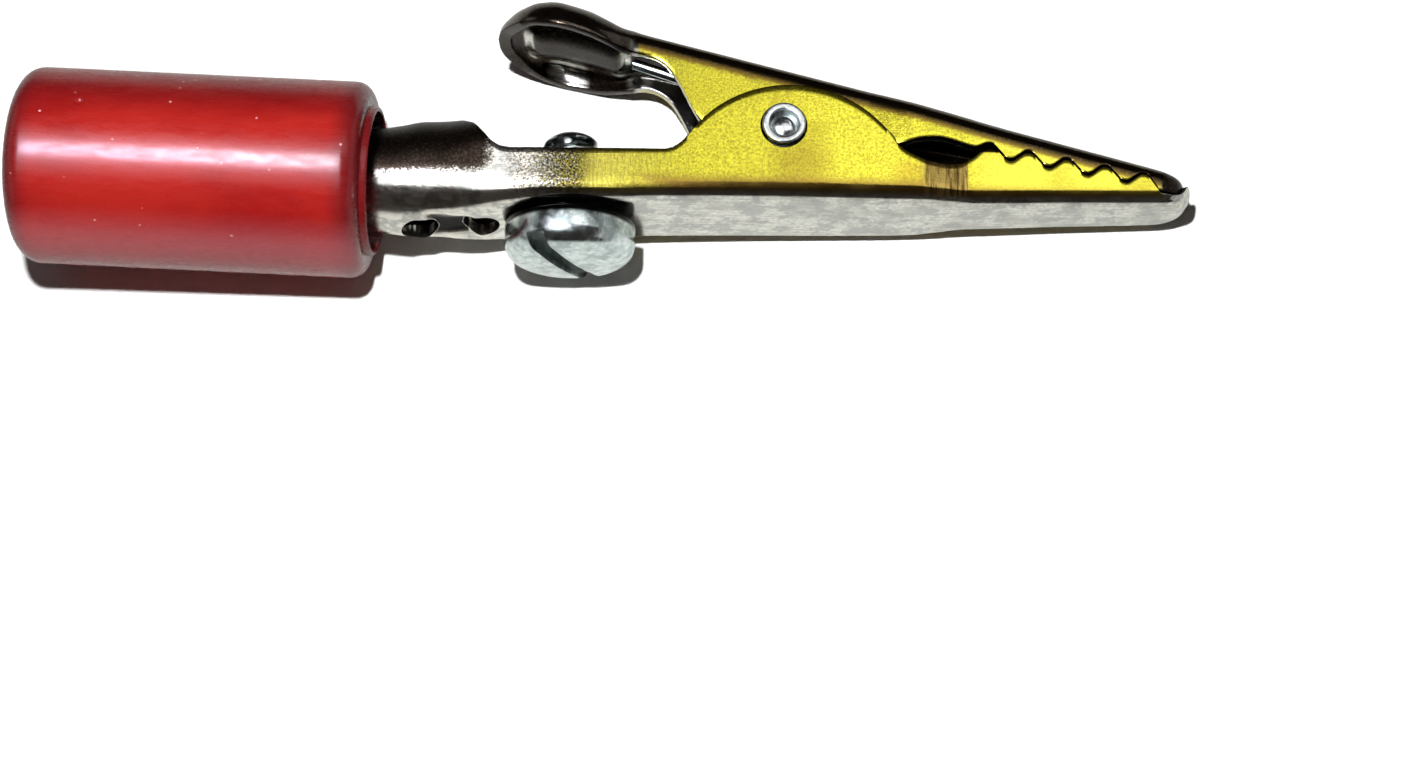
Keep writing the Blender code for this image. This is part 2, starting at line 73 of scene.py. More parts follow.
# Teeth and the eye behind them
TOOTH_COUNT = 5
TOOTH_PITCH = 1.96
TOOTH_HEIGHT = 0.66
TOOTH_FALL = 0.345
FIRST_PEAK = (10.6, 1.52)
TOOTH_FLAT = 0.16
TOOTH_SLANT = 0.03
TOOTH_GAP = 0.10
NOSE_DROP = 0.18
NOSE_RISE = 0.72

# Upper jaw and its thumb pad
RIDGE_AT_PIVOT = 5.65
RIDGE_SLOPE = -0.2635
UPPER_EAR_RADIUS = 2.75
UPPER_TIP_X = 20.7

# Rivet, wire windows and terminal screw
RIVET_HOLE_RADIUS = 1.2
WINDOWS = (("window_rear", -18.62), ("window_front", -15.48))
WINDOW_HALF_SIZES = (0.95, 1.30)
SCREW_X = -10.9
SCREW_HOLE_RADIUS = 1.82
SCREW_SEAT = 2.38
SCREW_CROWN = SCREW_SEAT + 2.15
SLOT_WIDTH = 1.0
SLOT_DEPTH = 0.8
SLOT_SHIFT = -0.2
SLOT_TURN = math.radians(26.0)

# Sleeve, and a pit in its surface
SLEEVE_CENTRE = (-30.25, 0.33, 0.0)
SLEEVE_TILT = math.radians(-2.2)
SLEEVE_RADIUS = 5.08
SLEEVE_HALF_LENGTH = 8.95
PIT = (-35.45, 2.34, 4.92)

# How dark the painted shade and dark reflection on a surface are: between clean, 0, and full shade the
# plate shows through
FULL_SHADE = 1.0
BLACK = 2.0

# The flanks' yellow, a painted reflection: where it starts, the painted black shade along its edges
# at the ear, and its brown spots of painted shade, each with a place, a range (inner radius, outer
# radius, strength, 0) and a colour
YELLOW_FROM = -12.6
PAINTED_EDGE_SHADE = (0.008, 0.005, 0.002)
BROWN_REFLECTION_SPOTS = (
    ((0.9, 0.0), (0.5, 2.4, 0.55, 0.0), (0.30, 0.20, 0.03)),
    ((6.4, -0.6), (0.3, 1.3, 0.45, 0.0), (0.45, 0.26, 0.03)),
)

# Sections of the formed sheet, closer together from the eye forward and in spans of
# their own: start, end and step
FINE_FROM = 9.6
LOWER_SPANS = ((-17.7, -13.6, 0.1), (-6.3, -5.0, 0.1), (4.2, 6.4, 0.05))
UPPER_SPANS = ((-14.9, -13.0, 0.06), (-8.2, -6.8, 0.08), (3.6, 6.4, 0.05), (2.5, 2.8, 0.05))
RIM_RADIUS = 0.055
HALF_POINTS = 26
BEND_WEIGHT = 1.3
ARC_STEPS = 20
OUTER, RIM, INNER = range(3)

# Stations along the lower jaw: x, lowest y, highest y, half width, lower and upper corner.
BARREL = (-BARREL_RADIUS,) + 4 * (BARREL_RADIUS,)
LOWER_STATIONS = (
    (BARREL_REAR, *BARREL),
    (-21.2, *BARREL),
    (-19.6, -2.82, 2.82, 2.85, 2.75, 2.75),
    (-18.5, -2.84, BARREL_SWELL, 2.98, 2.66, 2.80),
    (-17.6, -2.76, BARREL_SWELL, 3.05, 2.46, 2.80),
    (-17.0, -2.69, BARREL_SWELL, 3.12, 2.24, 2.75),
    (-16.4, -2.61, BARREL_SWELL, 3.18, 1.96, 2.60),
    (-15.4, -2.46, BARREL_SWELL, 3.26, 1.50, 2.20),
    (-14.0, -2.22, 2.60, 3.34, 1.10, 1.20),
    (-12.0, -2.02, 1.60, 3.38, 0.95, 0.30),
    (-8.5, -1.98, 1.60, 3.38, 0.88, 0.10),
    (-6.3, -1.90, 4.60, 3.37, 0.85, 0.10),
    (0.0, WEB_BOTTOM, 4.60, CHANNEL_HALF_WIDTH, 0.85, 0.10),
    (4.6, WEB_BOTTOM, 4.60, 3.16, 0.85, 0.10),
    (6.9, -1.83, 3.20, 3.02, 0.85, 0.10),
    (8.1, -1.79, 2.60, 2.70, 0.84, 0.10),
    (9.3, -1.75, 2.40, 2.34, 0.83, 0.10),
    (9.5, -1.74, 2.40, 2.30, 0.82, 0.10),
    (10.4, -1.72, 2.30, 2.26, 0.82, 0.10),
    (14.0, -1.61, 2.00, 2.14, 0.80, 0.10),
    (18.6, -1.50, 1.40, 2.00, 0.78, 0.10),
    (19.6, -1.47, 1.20, 1.92, 0.78, 0.10),
    (20.3, -1.38, 1.20, 1.62, 0.74, 0.10),
    (20.8, -1.14, 1.20, 1.16, 0.66, 0.10),
    (TIP_X, -0.86, 1.20, 0.66, 0.50, 0.10),
)

# Stations along the upper jaw: x, rise above the ridge line, half width, upper corner.
UPPER_STATIONS = (
    (-14.9, -1.75, 0.95, 0.60),
    (-14.7, -1.22, 1.70, 1.05),
    (-14.2, -0.78, 2.58, 1.45),
    (-13.5, -0.38, 3.42, 1.65),
    (-12.6, -0.06, 4.00, 1.70),
    (-11.4, 0.12, 4.28, 1.70),
    (-10.2, 0.12, 4.12, 1.65),
    (-9.1, 0.06, 3.62, 1.45),
    (-8.2, 0.02, 3.02, 1.15),
    (-7.4, 0.00, 2.60, 0.90),
    (-6.6, 0.00, 2.50, 0.84),
    (0.0, 0.00, 2.50, 0.84),
    (4.3, 0.00, 2.50, 0.84),
    (5.5, -0.03, 2.66, 0.88),
    (6.6, -0.05, 2.76, 0.90),
    (8.0, -0.03, 2.62, 0.88),
    (9.5, 0.00, 2.40, 0.86),
    (11.5, 0.00, 2.22, 0.84),
    (14.0, 0.00, 2.12, 0.82),
    (18.2, 0.00, 1.98, 0.80),
    (19.4, 0.00, 1.86, 0.74),
    (20.1, -0.02, 1.52, 0.62),
    (20.5, -0.08, 1.08, 0.46),
    (UPPER_TIP_X, -0.20, 0.66, 0.30),
)

hinge = next(joint for joint in frame["joints"] if joint["name"] == "jaw_hinge")
ORIGIN = Vector(hinge["pos_m"]) - Vector((PIVOT[0], PIVOT[1], 0.0)) * MM


def arc(centre, radius, start, end, steps=ARC_STEPS):
    """Points along a circular arc, angles in degrees."""
    angles = np.radians(np.linspace(start, end, steps + 1))
    return [(centre[0] + radius * math.cos(a), centre[1] + radius * math.sin(a)) for a in angles]


def smoothstep(value, low, high):
    """0 below low, 1 above high and a smooth rise between them."""
    share = np.clip((value - low) / (high - low), 0.0, 1.0)
    return share * share * (3.0 - 2.0 * share)


def hump(value, low, high, ramp):
    """1 between low and high, falling smoothly to 0 over a ramp outside them."""
    return smoothstep(value, low - ramp, low) * (1.0 - smoothstep(value, high, high + ramp))


class Stations:
    """Section sizes that run smoothly between stations, without overshooting any of them."""

    def __init__(self, rows):
        table = np.array(rows, float)
        self.x = table[:, 0]
        self.values = table[:, 1:]
        spans = np.diff(self.x)[:, None]
        rates = np.diff(self.values, axis=0) / spans
        self.slopes = np.zeros_like(self.values)
        product = rates[1:] * rates[:-1]
        total = rates[1:] + rates[:-1]
        safe = np.where(np.abs(total) > 1e-12, total, 1.0)
        self.slopes[1:-1] = np.where(product > 0.0, 2.0 * product / safe, 0.0)
        self.slopes[0] = rates[0]
        self.slopes[-1] = rates[-1]

    def at(self, x):
        """The section sizes at x."""
        i = int(np.clip(np.searchsorted(self.x, x) - 1, 0, len(self.x) - 2))
        span = self.x[i + 1] - self.x[i]
        t = (x - self.x[i]) / span
        return (
            (1.0 + 2.0 * t) * (1.0 - t) ** 2 * self.values[i]
            + t * (1.0 - t) ** 2 * span * self.slopes[i]
            + t * t * (3.0 - 2.0 * t) * self.values[i + 1]
            + t * t * (t - 1.0) * span * self.slopes[i + 1]
        )


class Outline:
    """Height of a sheet's edge along X, with its corners eased."""

    def __init__(self, points, ease=0.07):
        self.x = np.array([point[0] for point in points])
        self.y = np.array([point[1] for point in points])
        self.offsets = np.linspace(-ease, ease, 7)

    def at(self, x):
        """The edge's height at x."""
        return float(np.mean(np.interp(x + self.offsets, self.x, self.y)))


def ridge(x):
    """Height of the upper jaw's ridge line."""
    return RIDGE_AT_PIVOT + RIDGE_SLOPE * x


def tooth_line(offset):
    """The zigzag between the jaws, moved by an offset, from the eye to the nose."""
    points = []
    for index in range(TOOTH_COUNT):
        x = FIRST_PEAK[0] + TOOTH_PITCH * index
        peak = FIRST_PEAK[1] - TOOTH_FALL * index + offset
        valley = peak - TOOTH_FALL * 0.5 - TOOTH_HEIGHT
        valley -= NOSE_DROP * (index == TOOTH_COUNT - 1)
        points.append((x - TOOTH_FLAT, peak))
        points.append((x + TOOTH_FLAT, peak - TOOTH_SLANT))
        points.append((x + TOOTH_PITCH * 0.5 - TOOTH_FLAT, valley + TOOTH_SLANT))
        points.append((x + TOOTH_PITCH * 0.5 + TOOTH_FLAT, valley))
    low = points[-1][1]
    points.extend([(20.0, low), (20.35, low + 0.15 * NOSE_RISE), (20.6, low + 0.5 * NOSE_RISE)])
    points.extend([(20.8, low + NOSE_RISE), (TIP_X + 1.0, low + 0.3 * NOSE_RISE)])
    return points


def lower_outline():
    """Edge of the lower jaw's flanks from the dome of the barrel to the nose."""
    dome = [
        (-17.7, 3.6), (-17.2, 3.02), (-16.5, 2.72), (-15.8, 2.26),
        (-15.3, 1.62), (-14.85, 1.04), (-14.4, 0.75), (-13.9, FLANK_TOP),
    ]
    fillet = [(-5.98, FLANK_TOP), (-5.6, 0.76), (-5.32, 0.95)]
    ear = arc(EAR_CENTRE, EAR_RADIUS, 148.3, 31.5, 40)
    eye = [(6.1, 0.88), (6.6, 0.60), (7.2, 0.36), (8.2, 0.24), (9.1, 0.38), (9.8, 0.84)]
    return dome + fillet + ear + eye + tooth_line(-0.5 * TOOTH_GAP)


def upper_outline():
    """Edge of the upper jaw from the pad's rim, down round the pivot and on to the nose."""
    rim = [(-17.0, 8.2), (-13.2, 7.42), (-11.0, 6.93), (-9.2, 6.45), (-8.0, 6.22), (-7.2, 6.16)]
    rear = [(-6.62, 6.0), (-6.1, 5.68), (-5.74, 5.28), (-5.21, 4.4), (-4.79, 3.5), (-4.32, 2.66)]
    pivot = arc(PIVOT, UPPER_EAR_RADIUS, 205.0, 350.0, 24)
    joggle = arc(EAR_CENTRE, EAR_RADIUS + FLANK_GAP, 50.0, 32.0, 8)
    eye = [(6.1, 1.34), (6.6, 1.52), (7.2, 1.67), (7.95, 1.73), (8.6, 1.62)]
    eye += [(9.2, 1.44), (9.8, 1.28)]
    return rim + rear + pivot + joggle + eye + tooth_line(0.5 * TOOTH_GAP)


def half_section(low, high, half_width, low_corner, high_corner):
    """(y, z) points from the middle of the top, round the side, to the middle of the bottom."""
    above = arc((half_width - high_corner, high - high_corner), high_corner, 90.0, 0.0)
    below = arc((half_width - low_corner, low + low_corner), low_corner, 0.0, -90.0)
    line = [(0.0, high)] + above + below + [(0.0, low)]
    points = [line[0]]
    for point in line[1:]:
        if math.dist(point, points[-1]) > 1e-6:
            points.append(point)
    return np.array([(y, z) for z, y in points])


def spaced(line, top, gap):
    """A half section's corner below a height and outside a gap, and the points that follow it.

    The points start a rim's radius from the corner, and lie closer together on bends.
    """
    steps = np.diff(line, axis=0)
    along = np.concatenate(([0.0], np.cumsum(np.hypot(steps[:, 0], steps[:, 1]))))
    heading = np.unwrap(np.arctan2(steps[:, 1], steps[:, 0]))
    turns = np.abs(np.diff(heading))
    bend = np.concatenate(([0.0], np.cumsum(turns) - 0.5 * turns, [np.sum(turns)]))
    weight = along + BEND_WEIGHT * bend
    high = line[0, 0]
    start = np.interp(high - top, high - line[:, 0], along) if top < high else 0.0
    widest = int(np.argmax(line[:, 1])) + 1
    start = max(start, np.interp(gap, line[:widest, 1], along[:widest]))
    below = start + min(RIM_RADIUS, 0.3 * (along[-1] - start))
    marks = np.linspace(np.interp(below, along, weight), weight[-1], HALF_POINTS + 1)
    places = np.concatenate(([start], np.interp(marks, weight, along)))
    points = np.column_stack([np.interp(places, along, line[:, k]) for k in (0, 1)])
    return points[0], points[1:]


def unit(vector):
    """A vector's direction, or nothing for a vector of no length."""
    return vector / max(np.linalg.norm(vector), 1e-9)


def section_ring(outer, inner, x_outer, x_inner):
    """The closed ring of a bent sheet: outer side, rounded rim, inner side, rounded rim."""
    corner, outer = outer
    inner_corner, inner = inner
    across = inner_corner - corner
    radius = min(RIM_RADIUS, 0.4 * np.linalg.norm(across))
    across = unit(across)
    eased = (1.0 - math.sqrt(0.5)) * radius
    down = unit(outer[0] - corner)
    down_inner = unit(inner[0] - inner_corner)
    rim = [
        (x_outer, *(corner + (down + across) * eased)),
        (x_outer, *(corner + across * radius)),
        (x_inner, *(inner_corner - across * radius)),
        (x_inner, *(inner_corner + (down_inner - across) * eased)),
    ]
    near_outer = [(x_outer, *point) for point in outer]
    near_inner = [(x_inner, *point) for point in inner]

    def mirrored(points):
        """The points on the other side of the clip."""
        return [(x, y, -z) for x, y, z in points]

    ring = near_outer + mirrored(near_outer[-2::-1]) + mirrored(rim)
    return ring + mirrored(near_inner) + near_inner[-2::-1] + rim[::-1]


def sheet_mesh(name, rings, closed_rear, painted_dark):
    """A closed sheet-metal solid through section rings, with a closed nose."""
    count = len(rings[0])
    last = 2 * HALF_POINTS
    outer = list(range(last + 1))
    inner = list(range(last + 5, 2 * last + 6))
    far_rim = list(range(last, last + 6))
    near_rim = [0] + list(range(count - 1, count - 6, -1))
    faces = []
    for row in range(len(rings) - 1):
        base = row * count
        for k in range(count):
            after = (k + 1) % count
            faces.append((base + k, base + after, base + count + after, base + count + k))
    for base, closed in ((0, closed_rear), ((len(rings) - 1) * count, True)):
        if closed:
            faces.append([base + k for k in outer])
            faces.append([base + k for k in inner])
            for k in range(5):
                pair = (far_rim[k], far_rim[k + 1], near_rim[k + 1], near_rim[k])
                faces.append([base + index for index in pair])
        else:
            for k in range(last):
                pair = (outer[k], outer[k + 1], inner[last - k - 1], inner[last - k])
                faces.append([base + index for index in pair])
            faces.append([base + k for k in far_rim])
            faces.append([base + k for k in near_rim])
    mesh = bpy.data.meshes.new(name)
    mesh.from_pydata([Vector(point) * MM for ring in rings for point in ring], [], faces)
    # Per-vertex mark of painted shade and dark reflection
    mark = mesh.attributes.new("painted_dark", "FLOAT", "POINT")
    mark.data.foreach_set("value", np.array(painted_dark, np.float32))
    return cleaned(mesh)


def cleaned(mesh):
    """The mesh with doubled vertices merged and its faces turned outward."""
    shape = bmesh.new()
    shape.from_mesh(mesh)
    bmesh.ops.remove_doubles(shape, verts=shape.verts, dist=1e-7)
    bmesh.ops.recalc_face_normals(shape, faces=shape.faces)
    shape.to_mesh(mesh)
    shape.free()
    return mesh


def placed(name, data, matrix):
    """An object put in the scene at a matrix."""
    item = bpy.data.objects.new(name, data)
    bpy.context.scene.collection.objects.link(item)
    item.matrix_world = matrix
    return item


def new_object(name, mesh, matrix=None):
    """A piece in the clip's frame, moved by a matrix if it has one."""
    return placed(name, mesh, Matrix.Translation(ORIGIN) @ (matrix or Matrix.Identity(4)))


def moved(*place):
    """A move to a place in millimetres."""
    return Matrix.Translation(Vector(place) * MM)


def evaluated_mesh(item):
    """A new mesh of the object as its modifiers, or its curve's thickness, make it."""
    bpy.context.view_layer.update()
    graph = bpy.context.evaluated_depsgraph_get()
    return bpy.data.meshes.new_from_object(item.evaluated_get(graph))


def cut(item, cutters):
    """Take cutters out of an object, one Boolean each, and remove them."""
    for cutter in cutters:
        boolean = item.modifiers.new("cut", "BOOLEAN")
        boolean.operation = "DIFFERENCE"
        boolean.solver = "EXACT"
        boolean.object = cutter
        mesh = evaluated_mesh(item)
        item.modifiers.clear()
        old = item.data
        item.data = mesh
        bpy.data.meshes.remove(old)
        bpy.data.objects.remove(cutter, do_unlink=True)


def solid(name, shape, matrix=None):
    """An object made of a closed bmesh, with its faces turned outward."""
    bmesh.ops.recalc_face_normals(shape, faces=shape.faces)
    mesh = bpy.data.meshes.new(name)
    shape.to_mesh(mesh)
    shape.free()
    return new_object(name, mesh, matrix)


def prism(name, outline, low, high, axis):
    """A closed outline made solid between two heights along Y or Z."""
    shape = bmesh.new()
    rows = []
    for height in (low, high):
        if axis == "Z":
            places = [(a * MM, b * MM, height * MM) for a, b in outline]
        else:
            places = [(a * MM, height * MM, b * MM) for a, b in outline]
        rows.append([shape.verts.new(place) for place in places])
    for k in range(len(outline)):
        after = (k + 1) % len(outline)
        shape.faces.new((rows[0][k], rows[0][after], rows[1][after], rows[1][k]))
    shape.faces.new(rows[0])
    shape.faces.new(rows[1])
    return solid(name, shape)


def turned(name, profile, steps, matrix):
    """A closed solid turned about its own Z axis from a closed (radius, height) profile."""
    shape = bmesh.new()
    angles = [2.0 * math.pi * step / steps for step in range(steps)]
    rows = []
    for radius, height in profile:
        if radius < 1e-6:
            point = shape.verts.new((0.0, 0.0, height * MM))
            rows.append([point] * steps)
        else:
            rows.append([
                shape.verts.new((radius * MM * math.cos(a), radius * MM * math.sin(a), height * MM))
                for a in angles
            ])
    for first, second in zip(rows, rows[1:] + rows[:1]):
        for k in range(steps):
            after = (k + 1) % steps
            corners = (first[k], first[after], second[after], second[k])
            different = [c for i, c in enumerate(corners) if c not in corners[:i]]
            if len(different) > 2:
                shape.faces.new(different)
    return solid(name, shape, matrix)


def smooth(item, angle=32.0):
    """Shade a piece smooth, with edges sharper than an angle in degrees kept crisp."""
    item.data.shade_smooth()
    item.data.set_sharp_from_angle(angle=math.radians(angle))


def station_places(start, end, spans):
    """X of each section: close together along the teeth and in the spans, wider elsewhere."""
    spans = ((start, FINE_FROM, 0.24), (FINE_FROM, end, 0.085), *spans)
    places = np.concatenate([np.arange(*span) for span in spans] + [[end]])
    places = sorted(set(np.round(places, 4)))
    kept = [places[0]]
    for place in places[1:]:
        if place - kept[-1] > 0.03:
            kept.append(place)
    kept[-1] = end
    return kept


def inset(x, start, end):
    """X of the inner side, drawn in by the sheet's thickness from start to end."""
    share = min(max((x - start) / (end - start), 0.0), 1.0)
    return x - math.copysign(SHEET, end - start) * share


def sheet_sides():
    """Which side each point of a section ring is on."""
    face = 2 * HALF_POINTS + 1
    return [OUTER] * face + [RIM] * 4 + [INNER] * face + [RIM] * 4


def lower_painted_dark(point, side):
    """Painted shade on the lower jaw: dark inside, black on its cut edges and between the windows."""
    x, y, z = point
    if side == INNER:
        return FULL_SHADE
    if side == RIM:
        return BLACK if x > -6.5 else 1.2 * FULL_SHADE
    strap = hump(x, -17.95, -16.15, 0.2) * hump(z, -1.0, 1.45, 0.3) * (y < -1.0)
    return float(BLACK * strap)


def upper_painted_dark(point, side, depth):
    """Painted shade and dark reflection on the upper jaw: dark inside, on the pad and along the ridge,
    black at its edges.
    """
    x, z = point[0], point[2]
    pad = 1.0 - smoothstep(x, -8.0, -7.6)
    if side == INNER:
        # Painted shade inside, left clean in a ring, a patch and along the wall
        ring = hump(thumb_dish(x, z), 0.25, 0.60, 0.20) * (1.0 - smoothstep(z, 0.4, 2.0))
        patch = hump(x, -12.1, -10.8, 0.9) * (1.0 - smoothstep(z, -3.4, -2.4))
        wall = hump(x, -8.0, -4.8, 0.5) * (1.0 - smoothstep(z, -2.0, -1.4))
        clean = max(max(ring, patch) * pad, 0.66 * wall)
        return float(1.5 * FULL_SHADE * (1.0 - clean))
    if side == RIM:
        return float(max(BLACK * smoothstep(x, -4.5, -4.0), 1.45 * FULL_SHADE * pad, 0.05))
    # Painted dark reflection along the ridge, on the pad and its end, and a black painted reflection on
    # the nose
    ridge_band = 1.0 - smoothstep(depth, 0.80, 1.28)
    end = 1.0 - smoothstep(x, -14.5, -13.8)
    nose = smoothstep(x, 19.25, 19.45) * (1.0 - smoothstep(x, 20.45, 20.55))
    return float(max(0.95 * ridge_band, 0.95 * pad, 0.75 * end, 1.5 * nose) * FULL_SHADE)


def thumb_dish(x, z):
    """Depth of the thumb's dish in the pad, 1 at its middle."""
    return hump(x, -12.6, -8.9, 1.3) * (1.0 - smoothstep(abs(z), 0.6, 3.2))


def mark_flanks(item, sizes, column, start, end):
    """Paint how far each vertex lies on a flat outer flank, from nothing at start to all at end.

    The column is where the half width stands in the section sizes.
    """
    mesh = item.data
    places = np.empty(len(mesh.vertices) * 3)
    mesh.vertices.foreach_get("co", places)
    places = places.reshape(-1, 3) / MM
    grid = np.linspace(sizes.x[0], sizes.x[-1], 400)
    widths = np.array([sizes.at(x)[column] for x in grid])
    across = np.abs(places[:, 2]) / np.interp(places[:, 0], grid, widths)
    share = smoothstep(across, 0.90, 0.975) * smoothstep(places[:, 0], start, end)
    share *= 1.0 - smoothstep(places[:, 0], 19.2, 19.5)
    mark = mesh.attributes.new("flank", "FLOAT", "POINT")
    mark.data.foreach_set("value", share.astype(np.float32))


def build_lower_jaw():
    """Channel and rolled barrel of one folded sheet, with its terminal and wire windows."""
    sizes = Stations(LOWER_STATIONS)
    outline = Outline(lower_outline())
    rings = []
    painted_dark = []
    for x in station_places(BARREL_REAR, TIP_X, LOWER_SPANS):
        low, high, half_width, low_corner, high_corner = sizes.at(x)
        top = outline.at(x)
        floor = low + min(SHEET, 0.6 * (min(top, high) - low))
        roof = high - SHEET if high_corner > SHEET else high + 1.0
        corners = (max(low_corner - SHEET, 0.05), max(high_corner - SHEET, 0.05))
        hollow = (floor, roof, max(half_width - SHEET, 0.15), *corners)
        x_inner = inset(x, 18.6, TIP_X)
        outer = spaced(half_section(low, high, half_width, low_corner, high_corner), top, HALF_SEAM)
        inner = spaced(half_section(*hollow), top, HALF_SEAM)
        ring = section_ring(outer, inner, x, x_inner)
        painted_dark.extend(lower_painted_dark(point, side) for point, side in zip(ring, sheet_sides()))
        rings.append([press_lower(point) for point in ring])
    item = new_object("lower_jaw_plate", sheet_mesh("lower_jaw_plate", rings, False, painted_dark))
    cutters = []
    for name, middle in WINDOWS:
        circle = arc((0.0, 0.0), 1.0, 0.0, 350.0, 35)
        oval = [(middle + WINDOW_HALF_SIZES[0] * c, WINDOW_HALF_SIZES[1] * s) for c, s in circle]
        cutters.append(prism(name, oval, -4.5, -1.2, "Y"))
    screw_hole = arc((SCREW_X, 0.0), SCREW_HOLE_RADIUS, 0.0, 355.0, 71)
    cutters.append(prism("screw_hole", screw_hole, -3.0, -0.9, "Y"))
    cutters.append(rivet_hole())
    cut(item, cutters)
    smooth(item)
    mark_flanks(item, sizes, column=2, start=-15.0, end=-13.2)
    return item


def rivet_hole():
    """The tool that drills a jaw's flanks for the rivet."""
    return prism("rivet_hole", arc(PIVOT, RIVET_HOLE_RADIUS, 0.0, 355.0, 71), -6.0, 6.0, "Z")


def press_lower(point):
    """The forming mark of the lower jaw: the strap pressed in between the windows."""
    x, y, z = point
    strap = hump(x, -17.75, -16.35, 0.9) * (1.0 - smoothstep(abs(z), 0.8, 1.9))
    if y < 0.0:
        y += 0.42 * strap
    return (x, y, z)


def build_upper_jaw():
    """Lever of folded sheet with its dished thumb pad."""
    sizes = Stations(UPPER_STATIONS)
    pad_end = UPPER_STATIONS[0][0]
    outline = Outline(upper_outline())
    rings = []
    painted_dark = []
    for x in station_places(pad_end, UPPER_TIP_X, UPPER_SPANS):
        rise, half_width, corner = sizes.at(x)
        top = ridge(x) + rise
        reach = top - outline.at(x)
        inner_corner = max(corner - SHEET, 0.05)
        x_inner = inset(inset(x, 18.2, UPPER_TIP_X), -12.6, pad_end)
        deep = half_section(0.0, 14.0, half_width, corner, 0.05)
        depth = min(SHEET, 0.6 * reach)
        hollow = half_section(depth, 14.0, max(half_width - SHEET, 0.15), inner_corner, 0.05)
        outer = spaced(deep, reach, 0.0)
        inner = spaced(hollow, reach, 0.0)
        ring = section_ring(outer, inner, x, x_inner)
        ring = [(place, top - v, z) for place, v, z in ring]
        sides = zip(ring, sheet_sides())
        painted_dark.extend(upper_painted_dark(point, side, top - point[1]) for point, side in sides)
        rings.append([press_upper(point) for point in ring])
    item = new_object("upper_jaw_plate", sheet_mesh("upper_jaw_plate", rings, True, painted_dark))
    cut(item, [rivet_hole()])
    smooth(item)
    mark_flanks(item, sizes, column=1, start=-7.62, end=-7.4)
    return item


def press_upper(point):
    """The forming mark of the upper jaw: the thumb's dish."""
    x, y, z = point
    return (x, y - 0.75 * thumb_dish(x, z), z)


def build_rivet():
    """Semi-tubular rivet with its end rolled over the near flank and a flat head on the far one."""
    seat = CHANNEL_HALF_WIDTH + 0.06
    top = seat + 0.34
    roll = [(0.75, top - 0.10)] + arc((0.80, top - 0.05), 0.05, 180.0, 95.0, 4)
    roll += arc((1.00, top - 0.10), 0.10, 85.0, -30.0, 10)
    outer = roll + [(0.84, seat + 0.02), (0.84, -seat), (1.60, -seat), (1.65, -seat - 0.05)]
    outer += arc((1.45, -seat - 0.25), 0.20, 0.0, -90.0, 8) + [(0.0, -seat - 0.45)]
    ball = [(r, top - 0.62 + 0.28 * h) for r, h in arc((0.0, 0.0), 0.56, 90.0, 8.0, 16)]
    bore = ball + [(0.64, top - 1.0), (0.72, top - 0.9), (0.73, top - 0.3)]
    item = turned("rolled_rivet", outer + bore, 72, moved(*PIVOT, 0.0))
    smooth(item, 40.0)
    return item


def build_spring():
    """Torsion spring wound on the rivet, with both legs running back."""
    radius = 1.4
    turns = 3.0
    pitch = 0.78
    upper_end = Vector((-7.75, 6.12))
    lower_end = Vector((-6.6, -0.75))
    centre = Vector(PIVOT)

    def meeting(end, side):
        """The angle at which a straight leg from an end meets the coil."""
        reach = end - centre
        return math.atan2(reach.y, reach.x) + side * math.acos(radius / reach.length)

    start = meeting(upper_end, -1.0)
    finish = meeting(lower_end, 1.0) - 2.0 * math.pi * turns
    half_rise = 0.5 * pitch * (start - finish) / (2.0 * math.pi)
    steps = int(36 * (start - finish) / (2.0 * math.pi))
    points = [(*upper_end, half_rise)]
    for step in range(steps + 1):
        share = step / steps
        angle = start + (finish - start) * share
        place = (radius * math.cos(angle) + PIVOT[0], radius * math.sin(angle) + PIVOT[1])
        points.append((*place, half_rise * (1.0 - 2.0 * share)))
    points.append((*lower_end, -half_rise))
    curve = bpy.data.curves.new("wound_spring", "CURVE")
    curve.dimensions = "3D"
    curve.bevel_depth = 0.28 * MM
    curve.bevel_resolution = 5
    curve.use_fill_caps = True
    spline = curve.splines.new("POLY")
    spline.points.add(len(points) - 1)
    for place, point in zip(points, spline.points):
        point.co = (*(Vector(place) * MM), 1.0)
    wire = new_object("wound_spring", curve)
    mesh = evaluated_mesh(wire)
    bpy.data.objects.remove(wire, do_unlink=True)
    item = new_object("wound_spring", cleaned(mesh))
    smooth(item)
    return item


def build_screw():
    """Slotted pan head screw with a real thread. Its own Z axis points out through the head."""
    seat, crown = SCREW_SEAT, SCREW_CROWN
    head_radius = 3.36
    edge = 1.05
    profile = [(0.0, crown), (0.6, crown - 0.012), (1.2, crown - 0.045), (1.8, crown - 0.1)]
    profile += arc((head_radius - edge, crown - edge - 0.14), edge, 80.0, 0.0, 14)
    profile += arc((head_radius - 0.12, seat + 0.12), 0.12, 0.0, -90.0, 4)
    pitch = 0.794
    end = -2.68
    shank = 1.60
    heights = np.arange(seat - 0.02, end + 1.14, -pitch / 12.0)
    dome = [(shank * c, 1.1 * (1.0 + s) + end) for c, s in arc((0.0, 0.0), 1.0, 0.0, -90.0, 12)]
    profile += [(shank, height) for height in heights] + dome
    item = turned("slotted_screw", profile + [(0.0, crown)], 96, screw_matrix())
    cut_thread(item, pitch, end + 0.25, seat - 0.05)
    half = 0.5 * SLOT_WIDTH
    outline = [(-half, -4.6), (half, -4.6), (half, 4.6), (-half, 4.6)]
    slot = prism("slot", outline, crown - SLOT_DEPTH, crown + 1.0, "Z")
    turn = Matrix.Rotation(SLOT_TURN, 4, "Z")
    slot.matrix_world = item.matrix_world @ moved(SLOT_SHIFT, 0.0, 0.0) @ turn
    cut(item, [slot])
    smooth(item, 38.0)
    return item


